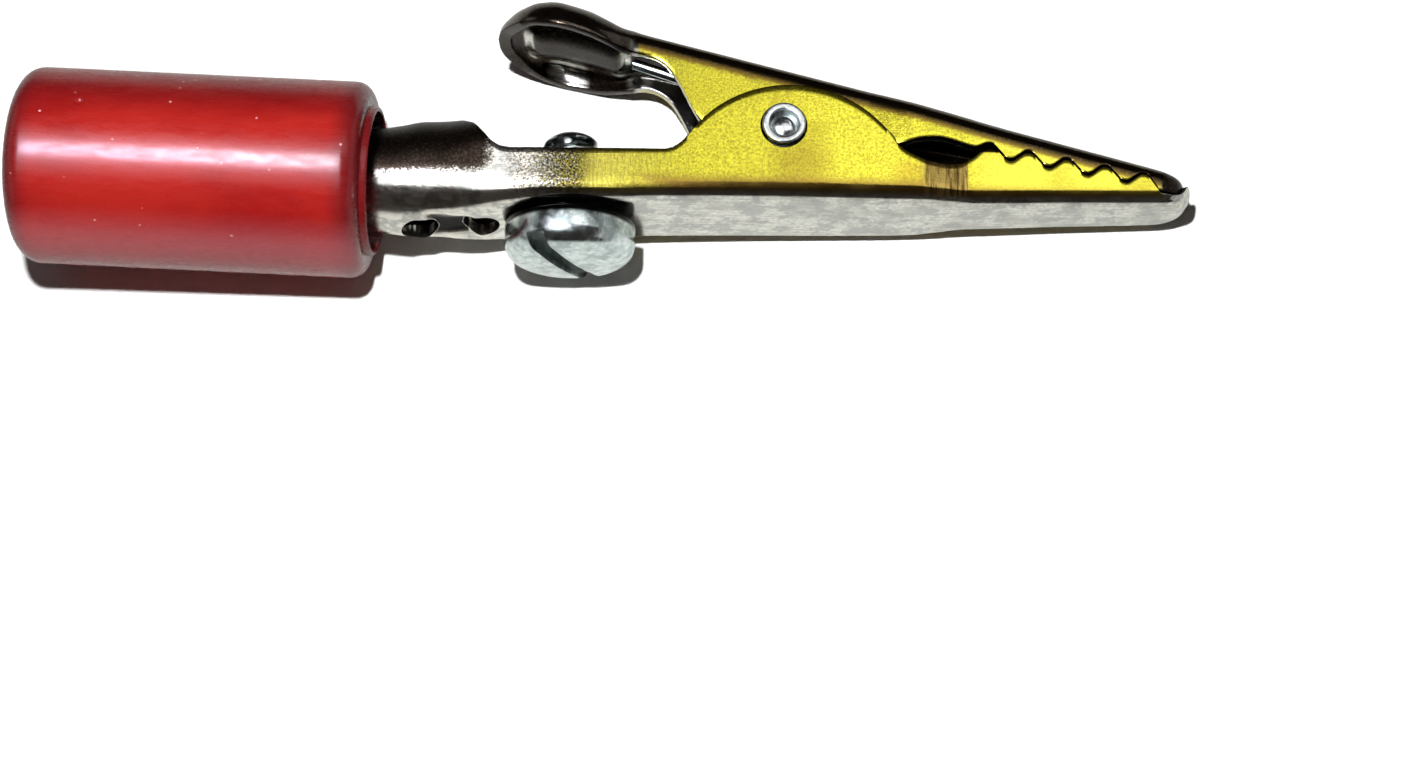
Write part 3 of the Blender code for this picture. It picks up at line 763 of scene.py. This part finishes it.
def cut_thread(item, pitch, low, high):
    """Draw a shank's vertices in along a helix, with the thread fading out at both ends."""
    for vertex in item.data.vertices:
        height = vertex.co.z / MM
        if low < height < high:
            angle = math.atan2(vertex.co.y, vertex.co.x) / (2.0 * math.pi)
            phase = (height / pitch - angle) % 1.0
            groove = min(abs(phase - 0.5) * 2.6, 1.0)
            fade = smoothstep(height, low, low + 0.65)
            fade *= 1.0 - smoothstep(height, high - 0.35, high - 0.05)
            reach = 1.0 - 0.2 * (1.0 - groove) * fade
            vertex.co.x *= reach
            vertex.co.y *= reach


def screw_matrix():
    """The terminal screw's place: its Z axis points down, out of the web."""
    return moved(SCREW_X, 0.0, 0.0) @ Matrix.Rotation(math.radians(90.0), 4, "X")


def build_sleeve():
    """Rigid tube with rounded ends and a thin raised lip round its mouth."""
    radius, half = SLEEVE_RADIUS, SLEEVE_HALF_LENGTH
    outer = arc((radius - 1.05, half - 1.05), 1.05, 90.0, 0.0, 16)
    outer += [(radius, height) for height in np.linspace(half - 1.4, 1.2 - half, 40)]
    outer += arc((radius - 0.85, 0.85 - half), 0.85, 0.0, -90.0, 14)
    lip = arc((3.72, -half - 0.22), 0.13, 0.0, -180.0, 10)
    outer += [(3.88, -half)] + lip
    inner = [(3.5, 0.3 - half), (3.1, 1.6 - half), (3.1, 4.6 - half), (3.35, 5.0 - half)]
    inner += [(3.35, half - 0.15), (3.42, half - 0.04), (3.5, half)]
    item = turned("moulded_sleeve", outer + inner, 144, sleeve_matrix())
    dimple = arc((0.0, 0.0), 0.36, 90.0, -90.0, 12)
    cut(item, [turned("pit", dimple, 20, moved(*PIT))])
    smooth(item, 40.0)
    return item


def sleeve_matrix():
    """The sleeve's place: its Z axis points back, away from the jaws."""
    tilt = Matrix.Rotation(SLEEVE_TILT, 4, "Z")
    return moved(*SLEEVE_CENTRE) @ tilt @ Matrix.Rotation(math.radians(-90.0), 4, "Y")


class Finish:
    """A procedural material. Lengths in its patterns are millimetres in the piece's own frame."""

    def __init__(self, name, colour, metallic, roughness):
        self.material = bpy.data.materials.new(name)
        self.material.use_nodes = True
        self.nodes = self.material.node_tree.nodes
        self.links = self.material.node_tree.links
        self.shader = self.nodes["Principled BSDF"]
        self.shader.inputs["Base Color"].default_value = (*colour, 1.0)
        self.shader.inputs["Metallic"].default_value = metallic
        self.shader.inputs["Roughness"].default_value = roughness
        source = self.node("TexCoord")
        scale = self.node("VectorMath", "SCALE")
        scale.inputs["Scale"].default_value = 1.0 / MM
        self.links.new(source.outputs["Object"], scale.inputs[0])
        self.place = scale.outputs[0]
        split = self.node("SeparateXYZ")
        self.links.new(self.place, split.inputs[0])
        self.x, self.y, self.z = split.outputs

    def node(self, kind, operation=None):
        """A new node, with its operation if it has one."""
        node = self.nodes.new("ShaderNode" + kind)
        if operation:
            node.operation = operation
        return node

    def noise(self, scale, stretch=(1.0, 1.0, 1.0), detail=3.0, rough=0.55):
        """Noise of about 1/scale millimetres, finer where stretch is above 1."""
        mapping = self.node("Mapping")
        mapping.inputs["Scale"].default_value = stretch
        self.links.new(self.place, mapping.inputs["Vector"])
        noise = self.node("TexNoise")
        noise.inputs["Scale"].default_value = scale
        noise.inputs["Detail"].default_value = detail
        noise.inputs["Roughness"].default_value = rough
        self.links.new(mapping.outputs["Vector"], noise.inputs["Vector"])
        return noise.outputs["Fac"]

    def cells(self, scale):
        """Distance to the nearest of scattered points, in cells of 1/scale millimetres."""
        cells = self.node("TexVoronoi")
        cells.inputs["Scale"].default_value = scale
        self.links.new(self.place, cells.inputs["Vector"])
        return cells.outputs["Distance"]

    def distance(self, place):
        """Distance in millimetres from a place, or from a line across the jaws given as (x, y)."""
        flat = self.node("VectorMath", "MULTIPLY")
        flat.inputs[1].default_value = (1.0, 1.0, float(len(place) == 3))
        self.links.new(self.place, flat.inputs[0])
        node = self.node("VectorMath", "DISTANCE")
        node.inputs[1].default_value = (*place, 0.0)[:3]
        self.links.new(flat.outputs["Vector"], node.inputs[0])
        return node.outputs["Value"]

    def mark(self, name):
        """A value painted on the mesh when it was made."""
        node = self.node("Attribute")
        node.attribute_name = name
        return node.outputs["Fac"]

    def ranged(self, value, low, high, to_low=0.0, to_high=1.0):
        """A value mapped smoothly from one range to another."""
        node = self.node("MapRange")
        node.interpolation_type = "SMOOTHSTEP"
        self.links.new(value, node.inputs["Value"])
        limits = {"From Min": low, "From Max": high, "To Min": to_low, "To Max": to_high}
        for name, number in limits.items():
            node.inputs[name].default_value = number
        return node.outputs["Result"]

    def between(self, value, low, high, ramp_low, ramp_high):
        """1 from low to high, with a ramp of its own length outside each."""
        rise = self.ranged(value, low - ramp_low, low)
        return self.product(rise, self.ranged(value, high, high + ramp_high, 1.0, 0.0))

    def combine(self, operation, first, second):
        """Two values, or a value and a number, put together."""
        node = self.node("Math", operation)
        for socket, value in zip(node.inputs, (first, second)):
            if isinstance(value, float):
                socket.default_value = value
            else:
                self.links.new(value, socket)
        return node.outputs["Value"]

    def product(self, *values):
        """Several values multiplied together."""
        result = values[0]
        for value in values[1:]:
            result = self.combine("MULTIPLY", result, value)
        return result

    def mixed(self, share, first, second):
        """A colour between two colours."""
        node = self.node("Mix")
        node.data_type = "RGBA"
        self.links.new(share, node.inputs["Factor"])
        for socket, colour in ((node.inputs[6], first), (node.inputs[7], second)):
            if isinstance(colour, tuple):
                socket.default_value = (*colour, 1.0)
            else:
                self.links.new(colour, socket)
        return node.outputs[2]

    def layered(self, colour, *layers):
        """A colour with layers over it, each a value, the range that shows the layer, and its colour."""
        for value, limits, over in layers:
            colour = self.mixed(self.ranged(value, *limits), colour, over)
        return colour

    def colour(self, value):
        """Use a colour all over."""
        self.links.new(value, self.shader.inputs["Base Color"])

    def roughness(self, value):
        """Use a roughness all over."""
        self.links.new(value, self.shader.inputs["Roughness"])

    def bump(self, height, depth, strength=1.0):
        """Small relief, depth in millimetres."""
        node = self.node("Bump")
        node.inputs["Distance"].default_value = depth * MM
        node.inputs["Strength"].default_value = strength
        self.links.new(height, node.inputs["Height"])
        previous = self.shader.inputs["Normal"].links
        if previous:
            self.links.new(previous[0].from_socket, node.inputs["Normal"])
        self.links.new(node.outputs["Normal"], self.shader.inputs["Normal"])


class Plate(Finish):
    """Nickel plate on rolled steel, with a painted yellow reflection on its flanks and painted shade and
    dark reflection where the mesh is marked dark.
    """

    def __init__(self, name):
        super().__init__(name, (0.80, 0.77, 0.70), 1.0, 0.16)
        self.grain = self.noise(5.0, detail=4.0)
        self.speckle = self.noise(8.0, detail=4.0, rough=0.8)
        self.patches = self.noise(0.45, (1.0, 1.4, 1.0))
        self.flank = self.mark("flank")
        self.painted_dark = self.mark("painted_dark")
        self.from_ear = self.distance(EAR_CENTRE)

    def silver(self):
        """Bare plate, drawn lengthwise and mottled, with a painted highlight that makes it lighter and
        warmer towards the barrel.
        """
        silver = self.mixed(self.ranged(self.grain, 0.35, 0.68), (0.66, 0.66, 0.60), (0.92, 0.92, 0.85))
        streaks = self.noise(1.2, (0.35, 5.0, 5.0), 4.0, 0.65)
        mottle = self.noise(0.9, detail=6.0, rough=0.7)
        return self.layered(
            silver,
            (self.patches, (0.44, 0.66, 0.0, 0.6), (0.44, 0.45, 0.41)),
            # Painted highlight: lighter, warmer plate towards the barrel
            (self.x, (-13.5, -9.0, 0.8, 0.0), (0.98, 0.95, 0.86)),
            (streaks, (0.46, 0.66, 0.0, 0.5), (0.36, 0.37, 0.34)),
            (mottle, (0.48, 0.58, 0.0, 0.75), (0.40, 0.42, 0.40)),
        )

    def yellow_reflection(self):
        """The flanks' yellow, a painted reflection: speckled, clearer at the teeth and browner at the
        rear and low edge.
        """
        spots = self.ranged(self.speckle, 0.36, 0.62)
        yellow_reflection = self.mixed(spots, (0.46, 0.40, 0.035), (0.91, 0.84, 0.07))
        yellow_reflection = self.layered(
            yellow_reflection,
            (self.x, (8.8, 10.8, 0.0, 0.5), (0.95, 0.88, 0.10)),
            (self.patches, (0.50, 0.72, 0.0, 0.45), (0.50, 0.41, 0.03)),
            (self.x, (-10.0, -4.5, 0.55, 0.0), (0.42, 0.37, 0.11)),
        )
        rolled = self.ranged(self.noise(3.0, (3.0, 0.5, 0.5), 4.0, 0.6), 0.44, 0.60)
        rolled = self.product(rolled, self.ranged(self.x, -6.5, -4.0, 0.6, 0.0))
        yellow_reflection = self.mixed(rolled, yellow_reflection, (0.36, 0.30, 0.05))
        # Brown spots of painted shade in the yellow reflection
        for place, limits, brown in BROWN_REFLECTION_SPOTS:
            yellow_reflection = self.layered(yellow_reflection, (self.distance(place), limits, brown))
        # Painted brown shade along the low edge
        clear_of_edge = self.combine(
            "MAXIMUM",
            self.ranged(self.x, -8.5, -5.0, 1.0, 0.0),
            self.ranged(self.y, -1.25, -0.45),
        )
        return self.mixed(clear_of_edge, (0.32, 0.20, 0.04), yellow_reflection)

    def shaken(self, value, reach):
        """A value moved to and fro by the speckle, for a ragged boundary."""
        return self.combine("ADD", value, self.ranged(self.speckle, 0.3, 0.7, -reach, reach))

    def coat(self, plated, painted_dark):
        """Put painted shade and dark reflection over the plate where the mesh is marked dark, and finish
        its relief.
        """
        dark_paint = self.ranged(self.speckle, 0.45, 0.70)
        dark_paint = self.mixed(dark_paint, (0.030, 0.021, 0.014), (0.13, 0.10, 0.07))
        dark_paint = self.mixed(self.ranged(painted_dark, FULL_SHADE, BLACK), dark_paint, (0.0015, 0.001, 0.001))
        self.colour(self.mixed(painted_dark, plated, dark_paint))
        gloss = self.ranged(self.patches, 0.3, 0.75, 0.13, 0.20)
        dull = self.ranged(painted_dark, FULL_SHADE, BLACK, 0.12, 0.60)
        self.roughness(self.combine("MAXIMUM", gloss, dull))
        self.bump(self.grain, 0.006, 0.4)
        self.bump(self.noise(1.6, (0.6, 14.0, 3.0)), 0.004, 0.35)


def lower_jaw_plate():
    """The lower jaw's plate, with a dark mottled patch beside the terminal and a painted dark reflection
    on its dome.
    """
    plate = Plate("nickel_steel")
    pits = plate.product(
        plate.between(plate.x, -13.6, -9.0, 1.0, 1.0),
        plate.ranged(plate.speckle, 0.48, 0.55),
        plate.flank,
    )
    silver = plate.mixed(pits, plate.silver(), (0.16, 0.11, 0.07))
    # Painted reflection of the dent under the eye: brown stripes
    stripes = plate.ranged(plate.noise(2.2, (2.4, 0.25, 0.25), 4.0, 0.7), 0.38, 0.60)
    stripes = plate.mixed(stripes, (0.22, 0.12, 0.03), (0.80, 0.58, 0.16))
    under_eye = plate.between(plate.x, 7.5, 9.35, 0.8, 0.1)
    under_eye = plate.product(under_eye, plate.ranged(plate.y, 0.9, 1.3, 1.0, 0.0))
    yellow_reflection = plate.mixed(under_eye, plate.yellow_reflection(), stripes)
    # Painted black shade just inside the ear's edge
    ear_edge = plate.ranged(plate.from_ear, EAR_RADIUS - 0.09, EAR_RADIUS - 0.04)
    ear_edge = plate.product(ear_edge, plate.ranged(plate.y, 1.0, 1.1))
    yellow_reflection = plate.mixed(ear_edge, yellow_reflection, PAINTED_EDGE_SHADE)
    along = plate.combine("ADD", plate.x, plate.ranged(plate.grain, 0.3, 0.7, -1.2, 1.2))
    shown = plate.product(plate.ranged(along, YELLOW_FROM, YELLOW_FROM + 2.4), plate.flank)
    plated = plate.mixed(shown, silver, yellow_reflection)
    dark_mottle = plate.product(
        plate.between(plate.x, -11.6, -10.6, 1.6, 1.4),
        plate.ranged(plate.speckle, 0.42, 0.54, 0.25, 1.0),
        plate.flank,
    )
    plated = plate.mixed(dark_mottle, plated, (0.03, 0.02, 0.01))
    # Painted dark reflection on the barrel's dome
    dome = plate.product(
        plate.ranged(plate.shaken(plate.x, 0.35), -15.5, -14.4, 1.55, 0.0),
        plate.ranged(plate.shaken(plate.y, 0.30), -0.85, -0.15),
    )
    plate.coat(plated, plate.combine("MAXIMUM", dome, plate.painted_dark))
    return plate.material


def upper_jaw_plate():
    """The upper jaw's plate, with a painted shade line along the ear and painted brown shade below the
    ridge.
    """
    plate = Plate("nickel_steel_lever")
    # Painted black shade along the ear's edge
    line = plate.ranged(plate.from_ear, EAR_RADIUS + 0.10, EAR_RADIUS + 0.26, 1.0, 0.0)
    yellow_reflection = plate.mixed(line, plate.yellow_reflection(), PAINTED_EDGE_SHADE)
    plated = plate.mixed(plate.flank, plate.silver(), yellow_reflection)
    # Painted brown shade on the flank below the dark ridge
    brown_shade = plate.product(plate.ranged(plate.painted_dark, 0.0, 0.45, 0.0, 0.85), plate.flank)
    plated = plate.mixed(brown_shade, plated, (0.36, 0.21, 0.03))
    plate.coat(plated, plate.painted_dark)
    return plate.material


def zinc_steel():
    """Handled zinc plate with fine scratches, painted shade in the slot and on the thread by the seat,
    and a painted black shadow under the head's edge.
    """
    finish = Finish("zinc_steel", (0.66, 0.74, 0.76), 1.0, 0.2)
    grain = finish.noise(3.0, detail=6.0, rough=0.65)
    scratch = finish.noise(2.2, (9.0, 1.0, 1.0))
    plate = finish.mixed(finish.ranged(grain, 0.38, 0.66), (0.60, 0.70, 0.70), (0.92, 1.0, 0.98))
    mottle = finish.noise(1.3, detail=5.0, rough=0.6)
    plate = finish.layered(plate, (mottle, (0.44, 0.60, 0.0, 0.75), (0.38, 0.46, 0.45)))
    across = finish.combine(
        "ADD",
        finish.product(finish.x, math.cos(SLOT_TURN)),
        finish.product(finish.y, math.sin(SLOT_TURN)),
    )
    across = finish.combine("ADD", across, -SLOT_SHIFT * math.cos(SLOT_TURN))
    across = finish.combine("ABSOLUTE", across, 0.0)
    # Painted shade in the slot and on the thread next to the seat
    slot_bottom = SCREW_CROWN - SLOT_DEPTH
    slot = finish.product(
        finish.ranged(across, 0.5 * SLOT_WIDTH, 0.5 * SLOT_WIDTH + 0.08, 0.75, 0.0),
        finish.ranged(finish.z, SCREW_CROWN - 0.33, SCREW_CROWN - 0.08, 1.0, 0.0),
        finish.ranged(finish.z, slot_bottom - 0.13, slot_bottom - 0.03),
    )
    thread = finish.ranged(finish.z, SCREW_SEAT - 0.18, SCREW_SEAT - 0.03, 0.5, 0.0)
    plate = finish.mixed(finish.combine("MAXIMUM", slot, thread), plate, (0.06, 0.07, 0.06))
    # Painted shadow: black under the head's edge
    seat = finish.between(finish.z, SCREW_SEAT - 0.13, SCREW_SEAT + 0.22, 0.10, 0.20)
    finish.colour(finish.mixed(seat, plate, (0.006, 0.007, 0.007)))
    finish.roughness(finish.ranged(grain, 0.3, 0.7, 0.15, 0.26))
    finish.bump(grain, 0.014, 0.5)
    finish.bump(scratch, 0.01, 0.35)
    return finish.material


def bright_steel(name, colour):
    """Bright plated steel with faint draw marks."""
    finish = Finish(name, colour, 1.0, 0.16)
    grain = finish.noise(6.0, detail=4.0)
    dull = tuple(0.8 * channel for channel in colour)
    finish.colour(finish.mixed(finish.ranged(grain, 0.35, 0.7), dull, colour))
    finish.roughness(finish.ranged(grain, 0.3, 0.7, 0.13, 0.20))
    finish.bump(grain, 0.005, 0.4)
    return finish.material


def red_plastic():
    """Glossy moulded plastic with scuffs, dust specks, a pit and fine scratches, painted shade at its
    ends and on its upper jaw's side, and a painted reflection on its lower jaw's side.
    """
    finish = Finish("red_gloss_plastic", (0.30, 0.006, 0.010), 0.0, 0.24)
    cloud = finish.noise(0.30, (1.0, 1.0, 0.4), 4.0)
    fine = finish.noise(2.6, (1.0, 1.0, 0.3), 5.0, 0.6)
    scratch = finish.noise(1.3, (7.0, 7.0, 0.30), rough=0.6)
    red = finish.mixed(finish.ranged(cloud, 0.32, 0.68), (0.25, 0.006, 0.006), (0.35, 0.014, 0.010))
    # Painted shade at the ends and on the upper jaw's side, and a painted reflection of the floor on the
    # lower jaw's side
    ends = finish.combine("ABSOLUTE", finish.z, 0.0)
    red = finish.layered(
        red,
        (ends, (7.2, 8.7, 0.0, 0.85), (0.10, 0.006, 0.008)),
        (finish.y, (0.8, 3.6, 0.0, 0.6), (0.09, 0.004, 0.006)),
        (finish.y, (-5.0, -3.3, 0.5, 0.0), (0.46, 0.12, 0.14)),
    )
    dust = finish.ranged(finish.cells(0.9), 0.035, 0.075, 0.75, 0.0)
    pit = finish.distance(sleeve_matrix().inverted() @ (Vector(PIT) * MM) / MM)
    specks = finish.combine("MAXIMUM", dust, finish.ranged(pit, 0.14, 0.34, 0.95, 0.0))
    finish.colour(finish.mixed(specks, red, (0.75, 0.42, 0.42)))
    finish.roughness(finish.ranged(fine, 0.3, 0.75, 0.22, 0.36))
    finish.bump(fine, 0.004, 0.3)
    finish.bump(scratch, 0.005, 0.3)
    finish.shader.inputs["Specular IOR Level"].default_value = 0.33
    finish.shader.inputs["Coat Weight"].default_value = 0.10
    finish.shader.inputs["Coat Roughness"].default_value = 0.16
    return finish.material


def finish_piece(item, material, body, node):
    """Give a piece its material, the body that it rides on and the CAD node that it replaces."""
    item.data.materials.clear()
    item.data.materials.append(material)
    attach(item, body)
    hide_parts(node)


def build_clip():
    """All six pieces, each in place of its CAD node."""
    finish_piece(build_sleeve(), red_plastic(), "sleeve", "insulating_sleeve")
    finish_piece(build_lower_jaw(), lower_jaw_plate(), "lower", "lower_jaw")
    finish_piece(build_upper_jaw(), upper_jaw_plate(), "lever", "upper_jaw")
    bright = bright_steel("rivet_plate", (0.78, 0.82, 0.82))
    finish_piece(build_rivet(), bright, "lower", "pivot_rivet")
    wire = bright_steel("spring_plate", (0.66, 0.74, 0.76))
    finish_piece(build_spring(), wire, "lower", "torsion_spring")
    finish_piece(build_screw(), zinc_steel(), "screw", "terminal_screw")


def build_floor():
    """A plain pale floor that the sleeve's front edge and the rivet's head rest on."""
    half = 1.5
    corners = [(-half, -half, 0.0), (half, -half, 0.0), (half, half, 0.0), (-half, half, 0.0)]
    mesh = bpy.data.meshes.new("floor")
    mesh.from_pydata(corners, [], [(0, 1, 2, 3)])
    sleeve_low, sleeve_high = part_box("insulating_sleeve")
    rivet_low, rivet_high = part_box("pivot_rivet")
    edge_x = sleeve_high.x - 0.85 * MM
    head_x = 0.5 * (rivet_low.x + rivet_high.x) - 1.2 * MM
    slope = math.atan2(rivet_low.z - sleeve_low.z, head_x - edge_x)
    place = Matrix.Translation((edge_x, 0.0, sleeve_low.z - 0.03 * MM))
    floor = placed("floor", mesh, place @ Matrix.Rotation(-slope, 4, "Y"))
    finish = Finish("floor_paper", (0.9, 0.9, 0.9), 0.0, 0.75)
    finish.shader.inputs["Specular IOR Level"].default_value = 0.1
    ray = finish.node("LightPath")
    finish.colour(finish.mixed(ray.outputs["Is Camera Ray"], (0.52, 0.52, 0.50), (0.9, 0.9, 0.9)))
    floor.data.materials.append(finish.material)


def direction_matrix(place, toward):
    """A matrix at a place with its -Z axis pointing at a target."""
    back = (Vector(place) - Vector(toward)).normalized()
    return Matrix.Translation(place) @ back.to_track_quat("Z", "Y").to_matrix().to_4x4()


def add_light(name, kind, energy, matrix):
    """A lamp at a matrix, in the scene."""
    light = bpy.data.lights.new(name, kind)
    light.energy = energy
    return placed(name, light, matrix)


def add_softbox(name, radiance, low, high, height=0.5, tint=(1.0, 1.0, 1.0)):
    """A rectangle of light overhead, seen in reflections only, between two (x, y) corners."""
    size = (high[0] - low[0], high[1] - low[1])
    middle = (0.5 * (low[0] + high[0]), 0.5 * (low[1] + high[1]), height)
    energy = radiance * math.pi * size[0] * size[1]
    item = add_light(name, "AREA", energy, Matrix.Translation(middle))
    item.data.shape = "RECTANGLE"
    item.data.color = tint
    item.data.size, item.data.size_y = size
    item.visible_diffuse = False


def build_lights():
    """A small key lamp above, and softboxes overhead and at both ends, seen in reflections only."""
    key_place = Matrix.Translation(ORIGIN + Vector((-18.0, -12.0, 125.0)) * MM)
    key = add_light("key", "POINT", 1.0, key_place)
    key.data.shadow_soft_size = 3.0 * MM
    key.visible_glossy = False
    add_softbox("rear_box", 2.2, (-0.300, -0.266), (-0.0175, 0.200))
    add_softbox("hot_box", 52.0, (-0.190, -0.070), (-0.125, 0.050), 0.49, (0.86, 0.80, 1.1))
    add_softbox("white_box", 84.0, (-0.125, -0.060), (-0.080, 0.045), 0.49, (0.90, 0.92, 1.0))
    add_softbox("flank_box", 0.96, (-0.0175, 0.060), (0.045, 0.206))
    add_softbox("front_box", 1.6, (0.045, 0.060), (0.30, 0.206))
    add_softbox("ridge_box", 1.0, (-0.0175, 0.206), (0.30, 0.285))
    add_softbox("side_box", 0.7, (0.30, 0.060), (0.62, 0.260))
    for name, side in (("left_panel", -1.0), ("right_panel", 1.0)):
        turn = direction_matrix((side * 1.1, 0.0, 0.34), (0.0, 0.0, 0.05))
        panel = add_light(name, "AREA", 1.7, turn)
        panel.data.shape = "RECTANGLE"
        panel.data.size, panel.data.size_y = 2.0, 0.6
        panel.visible_diffuse = False


def build_world():
    """Dim, warm surroundings for the metal to mirror, and white behind the floor."""
    world = bpy.data.worlds.new("surround")
    bpy.context.scene.world = world
    world.use_nodes = True
    nodes = world.node_tree.nodes
    links = world.node_tree.links
    background = nodes["Background"]
    ray = nodes.new("ShaderNodeLightPath")
    mix = nodes.new("ShaderNodeMix")
    mix.data_type = "RGBA"
    mix.inputs[6].default_value = (0.034, 0.029, 0.026, 1.0)
    mix.inputs[7].default_value = (0.93, 0.93, 0.93, 1.0)
    links.new(ray.outputs["Is Camera Ray"], mix.inputs["Factor"])
    links.new(mix.outputs[2], background.inputs["Color"])


def build_camera():
    """The camera looks down on the clip from its lower jaw's side."""
    tilt = math.radians(16.2)
    roll = math.radians(0.65)
    right = Vector((1.0, 0.0, 0.0))
    up = Vector((0.0, math.cos(tilt), math.sin(tilt)))
    forward = Vector((0.0, math.sin(tilt), -math.cos(tilt)))
    image_right = right * math.cos(roll) + up * math.sin(roll)
    image_up = up * math.cos(roll) - right * math.sin(roll)
    data = bpy.data.cameras.new("camera")
    data.sensor_width = 36.0
    data.lens = 61.41
    data.clip_start = 0.001
    turn = Matrix((image_right, image_up, -forward)).transposed().to_4x4()
    place = ORIGIN + Vector((-3.936, -44.418, 116.639)) * MM
    bpy.context.scene.camera = placed("camera", data, Matrix.Translation(place) @ turn)


build_camera()
build_clip()
build_floor()
build_lights()
build_world()
bpy.context.scene.view_settings.view_transform = "Standard"
